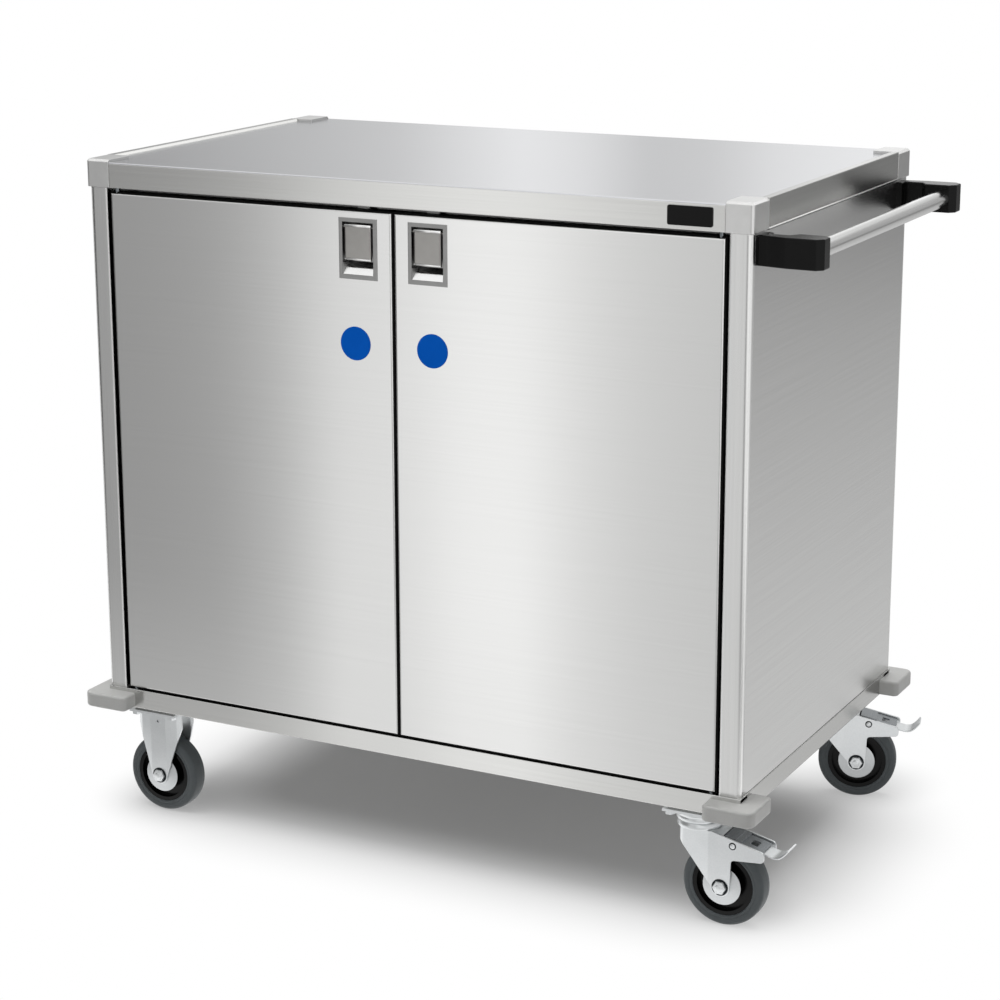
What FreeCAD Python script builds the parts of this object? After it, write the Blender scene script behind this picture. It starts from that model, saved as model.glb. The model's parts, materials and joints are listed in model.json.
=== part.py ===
"""Stainless sterile supply cart: a closed two-door cabinet on casters, with a push handle at one end.

Millimetres, +Z up, floor at z = 0. The doors face -Y and the push handle is on the +X side.
Every piece is worked out in cart coordinates, centred on the cabinet, and a node then moves it by
centre_x, so that the origin lies under the middle of the whole cart, bumpers and handle included.
"""
import FreeCAD, Part
import os
import re
import Sketcher

# Driving sizes, in millimetres and degrees.
SIZES = {
    # Cabinet
    "top_width": 1080, "top_depth": 645, "worktop_level": 1045, "band_height": 38, "top_overhang": 2,
    "sheet_thickness": 2, "panel_thickness": 1.5, "panel_foot_gap": 2, "worktop_edge_radius": 1.5,
    # Top frame
    "rim_width": 15, "rim_rise": 4, "rim_slope": 4, "rim_ledge": 10, "rail_depth": 20, "rail_wall": 2,
    "cap_front_leg": 40, "cap_side_leg": 55, "cap_wall": 3, "cap_corner_radius": 5,
    "cap_slope": 3.5, "cap_proud": 0.5, "seam_clearance": 0.2,
    # Posts
    "post_width": 32, "post_depth": 32, "post_wall": 3, "post_corner_radius": 8, "panel_lap": 10,
    # Base frame
    "base_height": 30, "base_rail_depth": 30,
    "bumper_reach": 30, "bumper_leg": 48, "bumper_height": 24, "bumper_corner_radius": 14,
    "bumper_end_radius": 9, "bumper_edge_radius": 4,
    # Shelf
    "shelf_level": 600, "shelf_edge": 20, "shelf_front_setback": 40, "shelf_rear_gap": 6,
    "shelf_side_clearance": 1.5, "bracket_arm": 24, "bracket_leg": 30, "bracket_long": 40,
    "bracket_thickness": 2, "bracket_inset": 120,
    # Doors
    "door_thickness": 28, "door_sheet": 1.5, "door_edge_radius": 3, "hinge_gap": 7, "meeting_gap": 5,
    "meeting_offset": -10, "top_gap": 8.5, "bottom_gap": 4, "seal_thickness": 2, "seal_depth": 20,
    "seal_setback": 3,
    "stop_clearance": 2.5, "stop_width": 20, "stop_thickness": 2, "sill_height": 16,
    "hinge_inset": 8, "hinge_depth": 8, "hinge_pin_radius": 4, "hinge_pin_reach": 12,
    "running_clearance": 0.05, "bush_radius": 6.4, "bush_length": 16,
    "dot_diameter": 50, "dot_thickness": 0.4, "dot_from_edge": 61, "dot_below_top": 240,
    # Latches
    "plate_width": 63, "plate_height": 89, "plate_thickness": 1.5, "plate_from_edge": 23,
    "plate_below_door_top": 10, "plate_edge_radius": 1,
    "opening_width": 51, "opening_height": 76.5, "opening_lift": 0.5, "tray_depth": 16, "tray_wall": 1.2,
    "tray_slope_rise": 17, "tray_fit": 0.2,
    "paddle_width": 43, "paddle_height": 51.5, "paddle_thickness": 4, "paddle_top_gap": 3.5,
    "paddle_edge_radius": 1, "paddle_set_in": 0.3, "pivot_below_paddle_top": 4, "pivot_depth": 3.5,
    "barrel_radius": 4, "paddle_pin_radius": 1.5, "tail_reach": 15.5, "tail_width": 8, "tail_half_height": 2,
    "window_width": 12, "window_above": 4, "window_below": 14,
    "bolt_width": 20, "bolt_thickness": 3, "bolt_clearance": 0.4, "bolt_below_pivot": 16,
    "bolt_nose_gap": 0.5, "bolt_slot_play": 0.8, "keeper_length": 40, "keeper_height": 4, "keeper_reach": 12,
    # Badge plate
    "badge_width": 66, "badge_height": 27, "badge_thickness": 1.5, "badge_radius": 3, "badge_from_end": 58,
    # Push handle
    "handle_reach": 92, "tube_radius": 13, "tube_wall": 1.5, "tube_from_wall": 70, "tube_socket": 20,
    "bracket_width": 38, "bracket_height": 42, "bracket_below_band": 4, "bracket_from_front": 16,
    "bracket_corner": 9, "bracket_edge_radius": 2, "bracket_facet_out": 40, "bracket_facet_in": 7,
    "bracket_head": 46, "bracket_neck": 24, "bracket_foot": 9,
    "handle_bolt_radius": 4, "handle_bolt_spacing": 22, "handle_bolt_head": 5, "handle_bolt_inset": 10,
    "handle_bolt_reach": 6,
    # Casters
    "swivel_inset": 78, "rigid_inset": 76, "caster_side_inset": 45, "wheel_radius": 62.5, "tyre_width": 32,
    "tyre_shoulder_radius": 7, "tyre_depth": 16.5, "core_rim": 6, "core_rim_width": 29,
    "core_web_width": 12, "hub_radius": 17, "hub_width": 33,
    "axle_radius": 6, "axle_head_radius": 10.5, "axle_head_height": 6, "guard_radius": 29, "guard_rim": 1.5,
    "guard_boss_radius": 12, "trail": 42,
    "seat_thickness": 5, "seat_width": 70, "plate_side": 84, "caster_plate_thickness": 4,
    "race_radius": 33, "race_height": 14.6, "race_gap": 0.4, "bowl_radius": 30, "bowl_height": 10,
    "kingpin_radius": 6, "kingpin_nut_radius": 11, "kingpin_nut_height": 7,
    "caster_bolt_radius": 4, "caster_bolt_head": 5, "caster_bolt_inset": 9,
    "fork_half_width": 25, "fork_wall": 3, "crown_thickness": 4, "crown_reach": 28, "fork_boss": 14,
    "boss_flat": 1,
    "fork_crease": 23, "nose_half_width": 15, "nose_radius": 12, "nose_drop": 22,
    "arm_past_tyre": 3, "wheel_headroom": 16, "arm_tip_drop": 19, "arm_tip_height": 15, "arm_tip_radius": 6,
    "arch_above_axle": 44, "arch_back": 16, "arch_radius": 5,
    "pedal_pivot_back": 18, "pedal_pivot_above_tyre": 3.5, "pedal_pin_radius": 3, "pedal_barrel_radius": 4.5,
    "pedal_thickness": 3, "pedal_clearance": 1, "tongue_width": 32, "tongue_flat": 16, "tongue_rise": 14,
    "tongue_reach": 14,
    "rigid_half_length": 40, "rigid_flat_half": 14, "rigid_bend_half": 33, "rigid_bend_in": 4,
    "rigid_edge_in": 8, "rigid_skirt": 26, "rigid_hole_radius": 2.5, "rigid_hole_drop": 16,
    # How far each swivel fork is turned from trailing towards +X
    "front_right_swivel": 0, "rear_right_swivel": 15,
}

# Places that follow from the driving sizes.
LAYOUT = {
    "centre_x": "(bumper_reach - handle_reach)/2",
    "side_x": "top_width/2 - top_overhang",
    "front_y": "top_overhang - top_depth/2",
    "half_x": "top_width/2",
    "half_y": "top_depth/2",
    "frame_bottom": "worktop_level - band_height",
    "sheet_under": "worktop_level - sheet_thickness",
    "base_top": "base_bottom + base_height",
    "post_inner": "side_x - post_width",
    "door_outer": "post_inner - hinge_gap",
    "right_inner": "meeting_gap/2 + meeting_offset",
    "left_inner": "meeting_gap/2 - meeting_offset",
    "right_latch": "right_inner + plate_from_edge + plate_width/2",
    "left_latch": "left_inner + plate_from_edge + plate_width/2",
    "door_low": "base_top + bottom_gap",
    "door_high": "frame_bottom - top_gap",
    "door_tall": "door_high - door_low",
    "door_back": "front_y + door_thickness",
    "stop_y": "door_back + stop_clearance",
    "hinge_x": "door_outer - hinge_inset",
    "hinge_y": "front_y + hinge_depth",
    "latch_z": "door_high - plate_below_door_top - plate_height/2",
    "opening_top": "latch_z + opening_lift + opening_height/2",
    "pivot_z": "opening_top - paddle_top_gap - pivot_below_paddle_top",
    "pivot_y": "front_y + pivot_depth",
    "bolt_y": "front_y + tray_depth + tray_wall + bolt_clearance",
    "bolt_tip": "frame_bottom - bolt_nose_gap",
    "bracket_top": "frame_bottom - bracket_below_band",
    "tube_z": "bracket_top - bracket_height/2",
    "handle_bolt_y": "bracket_y - bracket_width/2 + handle_bolt_inset",
    "bracket_y": "half_y - top_overhang - bracket_from_front - bracket_width/2",
    "swivel_x": "side_x - swivel_inset",
    "rigid_x": "rigid_inset - side_x",
    "caster_y": "-front_y - caster_side_inset",
    "core_radius": "wheel_radius - tyre_depth",
    "crown_low": "2*wheel_radius + wheel_headroom",
    "crown_top": "crown_low + crown_thickness",
    "bowl_top": "crown_top + bowl_height",
    "caster_plate_low": "bowl_top + race_gap + race_height",
    "seat_low": "caster_plate_low + caster_plate_thickness",
    "base_bottom": "seat_low + seat_thickness",
    "cheek_inner": "fork_half_width - fork_wall",
    "arm_end": "trail + wheel_radius + arm_past_tyre",
    "arm_tip_top": "crown_top - arm_tip_drop",
    "pedal_x": "trail + pedal_pivot_back",
    "pedal_z": "2*wheel_radius + pedal_pivot_above_tyre",
    "pedal_half": "cheek_inner - pedal_clearance",
    "shelf_low_y": "stop_y + shelf_front_setback",
}

NAME = re.compile(r"[a-z][a-z0-9]*_[a-z0-9_]*|trail")

doc = FreeCAD.newDocument("sterile_supply_cart")
sheet = doc.addObject("Spreadsheet::Sheet", "Size")
for row, (alias, number) in enumerate(SIZES.items(), start=1):
    sheet.set(f"A{row}", alias)
    sheet.set(f"B{row}", str(number))
    sheet.setAlias(f"B{row}", alias)
doc.recompute()
nodes = []

# Places nearer to each other than this count as one.
NEAR = 1e-3


def spelled(formula):
    """The formula with each place written out and each driving size read from the sheet."""
    def word(match):
        name = match.group()
        return f"({spelled(LAYOUT[name])})" if name in LAYOUT else f"Size.{name}"
    return NAME.sub(word, formula)


def bind(thing, setting, formula):
    """Ties one setting of an object to a formula of the sheet's sizes."""
    thing.setExpression(setting, spelled(formula))


def place(thing, corner):
    """Ties an object's place to three formulas."""
    for letter, formula in zip("xyz", corner):
        bind(thing, f"Placement.Base.{letter}", formula)
    return thing


def block(size, corner):
    """A box of the given size with its lowest corner at the given place."""
    thing = doc.addObject("Part::Box", "block")
    for setting, formula in zip(("Length", "Width", "Height"), size):
        bind(thing, setting, formula)
    return place(thing, corner)


def span(x, y, z):
    """A box between low and high formulas on each axis."""
    pairs = (x, y, z)
    return block([f"({high}) - ({low})" for low, high in pairs], [low for low, high in pairs])


TURNS = {"x": FreeCAD.Rotation(FreeCAD.Vector(0, 1, 0), 90),
         "y": FreeCAD.Rotation(FreeCAD.Vector(1, 0, 0), -90),
         "z": FreeCAD.Rotation()}


def rod(radius, length, start, along="z"):
    """A round bar that starts at a place and runs along one axis."""
    thing = doc.addObject("Part::Cylinder", "rod")
    thing.Placement = FreeCAD.Placement(FreeCAD.Vector(), TURNS[along])
    bind(thing, "Radius", radius)
    bind(thing, "Height", length)
    return place(thing, start)


def hexagon(radius, length, start, along="z"):
    """A six-sided bolt head or nut."""
    thing = doc.addObject("Part::Prism", "hexagon")
    thing.Polygon = 6
    thing.Placement = FreeCAD.Placement(FreeCAD.Vector(), TURNS[along])
    bind(thing, "Circumradius", radius)
    bind(thing, "Height", length)
    return place(thing, start)


def cut(base, *tools):
    """The base with every tool taken out of it."""
    for tool in tools:
        result = doc.addObject("Part::Cut", "cut")
        result.Base = base
        result.Tool = tool
        base = result
    return base


def fuse(*solids):
    """Several solids as one."""
    result = doc.addObject("Part::MultiFuse", "fuse")
    result.Shapes = list(solids)
    return result


def common(first, second):
    """What two solids share."""
    result = doc.addObject("Part::MultiCommon", "common")
    result.Shapes = [first, second]
    return result


def mirrored(source, axis):
    """A solid's mirror image across the cart's middle plane on one axis."""
    result = doc.addObject("Part::Mirroring", "mirrored")
    result.Source = source
    result.Normal = FreeCAD.Vector(axis == "x", axis == "y", 0)
    return result


def both_sides(solid, axis):
    """A solid and its mirror image."""
    return [solid, mirrored(solid, axis)]


def as_drawn(solid):
    """The right-hand door's pieces stay as they are drawn."""
    return solid


def to_the_left(solid):
    """The left-hand door's pieces are mirror images."""
    return mirrored(solid, "x")


def four_corners(solid):
    """A solid in one corner of the cart and its images in the other three."""
    pair = both_sides(solid, "x")
    return pair + [mirrored(one, "y") for one in pair]


def sketch(body, plane, *outlines):
    """Closed outlines of straight lines on one of the body's own planes, every corner tied to formulas."""
    drawing = body.newObject("Sketcher::SketchObject", "sketch")
    role = f"{plane}_Plane"
    support = [feature for feature in body.Origin.OriginFeatures if feature.Role == role]
    drawing.AttachmentSupport = [(support[0], "")]
    drawing.MapMode = "FlatFace"
    for outline in outlines:
        first = drawing.GeometryCount
        count = len(outline)
        for step in range(count):
            here = FreeCAD.Vector(step, step * step, 0)
            there = FreeCAD.Vector(step + 1, (step + 1) ** 2, 0)
            drawing.addGeometry(Part.LineSegment(here, there), False)
        for step, (across, up) in enumerate(outline):
            line = first + step
            follower = first + (step + 1) % count
            drawing.addConstraint(Sketcher.Constraint("Coincident", line, 2, follower, 1))
            for kind, formula in (("DistanceX", across), ("DistanceY", up)):
                index = drawing.addConstraint(Sketcher.Constraint(kind, -1, 1, line, 1, 1.0 + line))
                bind(drawing, f"Constraints[{index}]", formula)
    return drawing


def rectangle(low_x, high_x, low_y, high_y):
    """The four corners of a rectangle."""
    return [(low_x, low_y), (high_x, low_y), (high_x, high_y), (low_x, high_y)]


def pad(body, drawing, length, side="One side"):
    """Raises a sketch into a solid."""
    feature = body.newObject("PartDesign::Pad", "pad")
    feature.Profile = drawing
    feature.SideType = side
    bind(feature, "Length", length)
    return feature


def pocket(body, drawing, length, side="Symmetric", reversed_way=False):
    """Cuts a sketch out of the body and makes sure that something went."""
    doc.recompute()
    before = body.Shape.Volume
    feature = body.newObject("PartDesign::Pocket", "pocket")
    feature.Profile = drawing
    feature.SideType = side
    feature.Reversed = reversed_way
    bind(feature, "Length", length)
    doc.recompute()
    if body.Shape.Volume > before - NEAR:
        raise RuntimeError(f"a pocket of {body.Label} cuts nothing")
    return feature


def prism(plane, length, *outlines, side="One side", at=("0", "0", "0")):
    """A body made by raising one sketch."""
    body = place(doc.addObject("PartDesign::Body", "body"), at)
    pad(body, sketch(body, plane, *outlines), length, side)
    return body


def turned(outline, at):
    """A body turned about its own Y axis from a half outline of (radius, place along the axis)."""
    body = place(doc.addObject("PartDesign::Body", "turned"), at)
    feature = body.newObject("PartDesign::Revolution", "revolution")
    drawing = sketch(body, "XY", outline)
    feature.Profile = drawing
    feature.ReferenceAxis = (drawing, ["V_Axis"])
    feature.Angle = 360
    body.Tip = feature
    return body


def soften(body, radius, chosen, kind="Fillet"):
    """Rounds, or with kind Chamfer bevels, the edges for which chosen(edge, box of the body) is true."""
    doc.recompute()
    base = body.Tip
    box = base.Shape.BoundBox
    names = [f"Edge{number}" for number, edge in enumerate(base.Shape.Edges, start=1) if chosen(edge, box)]
    feature = body.newObject(f"PartDesign::{kind}", kind.lower())
    feature.Base = (base, names)
    bind(feature, "Radius" if kind == "Fillet" else "Size", radius)
    return body


def same(first, second):
    """Whether two places on an axis are one."""
    return abs(first - second) < NEAR


def lies(edge, axis, place_on_axis):
    """Whether the whole edge lies at one place on an axis."""
    box = edge.BoundBox
    low, high = getattr(box, f"{axis}Min"), getattr(box, f"{axis}Max")
    return same(low, place_on_axis) and same(high, place_on_axis)


def upright(edge, x, y):
    """Whether the edge is a vertical line at (x, y)."""
    return lies(edge, "X", x) and lies(edge, "Y", y)


def crosswise(edge, box):
    """Whether the edge runs along Y over the depth of the body."""
    return edge.BoundBox.YLength > box.YLength / 2


def node(label, *solids, at=("0", "0", "0"), turn=None):
    """A named sub-part: its solids, moved from cart coordinates to their place in the part's frame."""
    part = doc.addObject("Part::Compound", label)
    part.Label = label
    part.Links = list(solids)
    if turn:
        part.Placement = FreeCAD.Placement(FreeCAD.Vector(), FreeCAD.Rotation(FreeCAD.Vector(0, 0, 1), 1))
        bind(part, "Placement.Rotation.Angle", turn)
    place(part, (f"centre_x + {at[0]}", at[1], at[2]))
    nodes.append(part)
    return part


def make_top():
    """Worktop sheet, hollow rails round it, raised side rims and the caps over the corners."""
    middle_x = "half_x - cap_front_leg - seam_clearance"
    middle_y = "half_y - cap_side_leg - seam_clearance"
    inside_rim = "half_x - rim_width - seam_clearance"
    quarter = [(inside_rim, middle_y), (middle_x, middle_y), (middle_x, "half_y")]
    half = quarter + [(f"-({x})", y) for x, y in reversed(quarter)]
    cross = half + [(x, f"-({y})") for x, y in reversed(half)]
    top = prism("XY", "sheet_thickness", cross, at=("0", "0", "sheet_under"))

    def front_or_rear(edge, box):
        """Whether an edge of the sheet's face is at the front or the rear."""
        return lies(edge, "Z", box.ZMax) and (lies(edge, "Y", box.YMin) or lies(edge, "Y", box.YMax))
    soften(top, "worktop_edge_radius", front_or_rear)
    node("worktop", top)

    rail = rectangle("-half_y", "rail_depth - half_y", "frame_bottom", "sheet_under")
    bore = rectangle("rail_wall - half_y", "rail_depth - rail_wall - half_y",
                     "frame_bottom + rail_wall", "sheet_under - rail_wall")
    front = prism("YZ", f"2*({middle_x})", rail, bore, side="Symmetric")
    node("fascia_rails", *both_sides(front, "y"))

    crest = "worktop_level + rim_rise"
    inner = "half_x - rim_width - rim_ledge"
    rim = [("half_x", "frame_bottom"), ("half_x", crest), ("half_x - rim_width + rim_slope", crest),
           ("half_x - rim_width", "worktop_level"), ("half_x - rim_width", "sheet_under"),
           (inner, "sheet_under"), (inner, "frame_bottom")]
    hollow = rectangle(f"{inner} + rail_wall", "half_x - rail_wall",
                       "frame_bottom + rail_wall", "sheet_under - rail_wall")
    right = prism("XZ", f"2*({middle_y})", rim, hollow, side="Symmetric")
    soften(right, "rail_wall/2", lambda edge, box: lies(edge, "X", box.XMax) and lies(edge, "Z", box.ZMax))
    node("side_rims", *both_sides(right, "x"))

    # One cap: its front top edge slopes from the worktop's level up to the rim's.
    low_x, high_x = "half_x - cap_front_leg", "half_x + cap_proud"
    low_y, high_y = "half_y - cap_side_leg", "half_y + cap_proud"
    cap = prism("XY", "band_height + rim_rise", rectangle(low_x, high_x, low_y, high_y),
                at=("0", "0", "frame_bottom"))
    soften(cap, "cap_corner_radius", lambda edge, box: upright(edge, box.XMax, box.YMax))
    soften(cap, "cap_slope", lambda edge, box: lies(edge, "Z", box.ZMax) and lies(edge, "Y", box.YMax),
           kind="Chamfer")
    core = sketch(cap, "XY", rectangle(f"{low_x} + cap_wall", f"{high_x} - cap_wall",
                                       f"{low_y} + cap_wall", f"{high_y} - cap_wall"))
    pocket(cap, core, "band_height - cap_wall", side="One side", reversed_way=True)
    node("top_corner_caps", *four_corners(cap))


def make_cabinet():
    """Posts, side and back panels, floor, shelf and the strips that the doors close against."""
    rear = "-front_y"
    post = prism("XY", "frame_bottom - base_top",
                 [("side_x", rear), ("post_inner", rear), ("post_inner", f"{rear} - post_depth"),
                  ("side_x - panel_thickness", f"{rear} - post_depth"),
                  ("side_x - panel_thickness", f"{rear} - panel_lap"), ("side_x", f"{rear} - panel_lap")],
                 rectangle("post_inner + post_wall", "side_x - post_wall",
                           f"{rear} - post_depth + post_wall", f"{rear} - post_wall"),
                 at=("0", "0", "base_top"))
    soften(post, "post_corner_radius", lambda edge, box: upright(edge, box.XMax, box.YMax))
    posts = both_sides(post, "x")
    # The rear posts also step in behind the back panel.
    step = span(("-side_x + panel_lap", "side_x - panel_lap"), (f"{rear} - panel_thickness", rear),
                ("base_top", "frame_bottom"))
    node("corner_posts", *[cut(one, step) for one in posts], *[mirrored(one, "y") for one in posts])

    tall = ("base_top", "frame_bottom")
    above_foot = ("base_top + panel_foot_gap", "frame_bottom")
    lap_y = f"{rear} - panel_lap"
    panel = span(("side_x - panel_thickness", "side_x"), (f"-({lap_y})", lap_y), above_foot)
    node("left_side_panel", mirrored(panel, "x"))
    holes = [rod("handle_bolt_radius", "2*panel_thickness", ("side_x - 1.5*panel_thickness", y, z), "x")
             for y in ("handle_bolt_y", "-handle_bolt_y") for z in handle_bolt_heights()]
    node("right_side_panel", cut(panel, *holes))
    node("back_panel", span(("-side_x + panel_lap", "side_x - panel_lap"),
                            (f"{rear} - panel_thickness", rear), above_foot))
    inside = "side_x - panel_thickness"
    node("floor_panel", span((f"-({inside})", inside), ("stop_y + stop_thickness", f"{rear} - post_depth"),
                             ("base_top", "base_top + sheet_thickness")))

    shelf_x = f"{inside} - shelf_side_clearance"
    wide, deep = (f"-({shelf_x})", shelf_x), ("shelf_low_y", f"{rear} - post_depth - shelf_rear_gap")
    lip = "shelf_level - shelf_edge"
    node("shelf", cut(span(wide, deep, (lip, "shelf_level")),
                      span(wide, (f"{deep[0]} + panel_thickness", f"{deep[1]} - panel_thickness"),
                           (lip, "shelf_level - panel_thickness"))))
    under = "shelf_level - panel_thickness"
    arm = span((f"{inside} - bracket_arm", inside), ("bracket_inset", "bracket_inset + bracket_long"),
               (f"{under} - bracket_thickness", under))
    leg = span((f"{inside} - bracket_thickness", inside), ("bracket_inset", "bracket_inset + bracket_long"),
               (f"{under} - bracket_leg", under))
    node("shelf_brackets", *four_corners(fuse(arm, leg)))

    stop_y = ("stop_y", "stop_y + stop_thickness")
    inner = "post_inner - stop_width"
    side = span((inner, "post_inner"), stop_y, tall)
    middle = (f"-({inner})", inner)
    node("door_stop_strips", *both_sides(side, "x"),
         span(middle, stop_y, ("frame_bottom - stop_width", "frame_bottom")),
         span(middle, stop_y, ("base_top", "base_top + sill_height")))
    pin = rod("hinge_pin_radius", "bottom_gap + hinge_pin_reach", ("hinge_x", "hinge_y", "base_top"))
    top_pin = rod("hinge_pin_radius", "top_gap + hinge_pin_reach",
                  ("hinge_x", "hinge_y", "door_high - hinge_pin_reach"))
    node("hinge_pins", *both_sides(pin, "x"), *both_sides(top_pin, "x"))
    keepers = []
    for latch, flip in (("left_latch", to_the_left), ("right_latch", as_drawn)):
        keeper = span((f"{latch} - keeper_length/2", f"{latch} + keeper_length/2"),
                      ("rail_depth - half_y", "bolt_y + bolt_thickness + keeper_reach"),
                      ("frame_bottom", "frame_bottom + keeper_height"))
        slot = span((f"{latch} - bolt_width/2 - bolt_slot_play", f"{latch} + bolt_width/2 + bolt_slot_play"),
                    ("bolt_y - bolt_slot_play", "bolt_y + bolt_thickness + bolt_slot_play"),
                    ("frame_bottom - keeper_height", "frame_bottom + 2*keeper_height"))
        keepers.append(flip(cut(keeper, slot)))
    node("latch_keepers", *keepers)

    end = "half_x - badge_from_end"
    middle_z = "frame_bottom + band_height/2"
    outline = rectangle(f"{end} - badge_width", end,
                        f"{middle_z} - badge_height/2", f"{middle_z} + badge_height/2")
    badge = prism("XZ", "badge_thickness", outline, at=("0", "-half_y", "0"))
    soften(badge, "badge_radius", crosswise)
    node("badge_plate", badge)


def make_base():
    """Hollow base rails and the bumpers round their corners."""
    rear = "-front_y"
    section = rectangle(f"{rear} - base_rail_depth", rear, "base_bottom", "base_top")
    bore = rectangle(f"{rear} - base_rail_depth + rail_wall", f"{rear} - rail_wall",
                     "base_bottom + rail_wall", "base_top - rail_wall")
    node("base_long_rails", *both_sides(prism("YZ", "2*side_x", section, bore, side="Symmetric"), "y"))
    section = rectangle("side_x - base_rail_depth", "side_x", "base_bottom", "base_top")
    bore = rectangle("side_x - base_rail_depth + rail_wall", "side_x - rail_wall",
                     "base_bottom + rail_wall", "base_top - rail_wall")
    short = prism("XZ", f"2*({rear} - base_rail_depth)", section, bore, side="Symmetric")
    node("base_short_rails", *both_sides(short, "x"))

    # The bumper is drawn with the frame's corner at its own origin, in the +X +Y corner.
    bumper = prism("XY", "bumper_height",
                   [("bumper_reach", "bumper_reach"), ("-bumper_leg", "bumper_reach"), ("-bumper_leg", "0"),
                    ("0", "0"), ("0", "-bumper_leg"), ("bumper_reach", "-bumper_leg")],
                   at=("side_x", rear, "base_bottom"))
    soften(bumper, "bumper_corner_radius", lambda edge, box: upright(edge, box.XMax, box.YMax))
    soften(bumper, "bumper_end_radius",
           lambda edge, box: upright(edge, box.XMin, box.YMax) or upright(edge, box.XMax, box.YMin))

    def outer_rim(edge, box):
        """Whether an edge of the top or bottom face is away from the frame."""
        flat = lies(edge, "Z", box.ZMin) or lies(edge, "Z", box.ZMax)
        return flat and not (edge.BoundBox.XMax < NEAR and edge.BoundBox.YMax < NEAR)
    soften(bumper, "bumper_edge_radius", outer_rim)
    node("corner_bumpers", *four_corners(bumper))


def handle_bolt_heights():
    """The two heights at which each handle bracket is bolted on."""
    return [f"tube_z {sign} handle_bolt_spacing/2" for sign in "-+"]


def make_handle():
    """Push tube between two plastic brackets that are bolted through the right side panel."""
    inner_end = "bracket_y - bracket_width/2"
    tube_x = "side_x + tube_from_wall"
    end = f"({inner_end} + tube_socket)"
    tube = rod("tube_radius", f"2*{end}", (tube_x, f"-{end}", "tube_z"), "y")
    core = rod("tube_radius - tube_wall", f"2*{end}", (tube_x, f"-{end}", "tube_z"), "y")
    node("handle_tube", cut(tube, core))

    # Plan of the rear bracket: a bolted foot, a slim neck and a thick head that holds the tube.
    outer = "bracket_width/2"
    neck = f"{outer} - bracket_neck"
    outline = [("0", f"{outer} - bracket_facet_in"), ("bracket_facet_out", outer),
               ("handle_reach - bracket_corner", outer), ("handle_reach", f"{outer} - bracket_corner"),
               ("handle_reach", f"bracket_corner - {outer}"), ("handle_reach - bracket_corner", f"-{outer}"),
               ("handle_reach - bracket_head", f"-{outer}"),
               ("handle_reach - bracket_head - bracket_corner", neck),
               ("bracket_foot", neck), ("bracket_foot", f"-{outer}"), ("0", f"-{outer}")]
    shell = prism("XY", "bracket_height", outline, at=("side_x", "bracket_y", "bracket_top - bracket_height"))

    def outer_rim(edge, box):
        """Whether an edge of the top or bottom face is away from the side panel."""
        return (lies(edge, "Z", box.ZMin) or lies(edge, "Z", box.ZMax)) and not lies(edge, "X", 0)
    soften(shell, "bracket_edge_radius", outer_rim)
    socket = rod("tube_radius", "tube_socket", (tube_x, inner_end, "tube_z"), "y")
    threads = [rod("handle_bolt_radius", "handle_bolt_reach", ("side_x", "handle_bolt_y", z), "x")
               for z in handle_bolt_heights()]
    bracket = cut(shell, socket, *threads)
    node("rear_handle_bracket", bracket)
    node("front_handle_bracket", mirrored(bracket, "y"))

    bolts = []
    inside = "side_x - panel_thickness"
    for z in handle_bolt_heights():
        head = hexagon("2*handle_bolt_radius", "handle_bolt_head",
                       (f"{inside} - handle_bolt_head", "handle_bolt_y", z), "x")
        shank = rod("handle_bolt_radius", "panel_thickness + handle_bolt_reach",
                    (inside, "handle_bolt_y", z), "x")
        bolts += both_sides(fuse(head, shank), "y")
    node("handle_bolts", *bolts)


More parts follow.
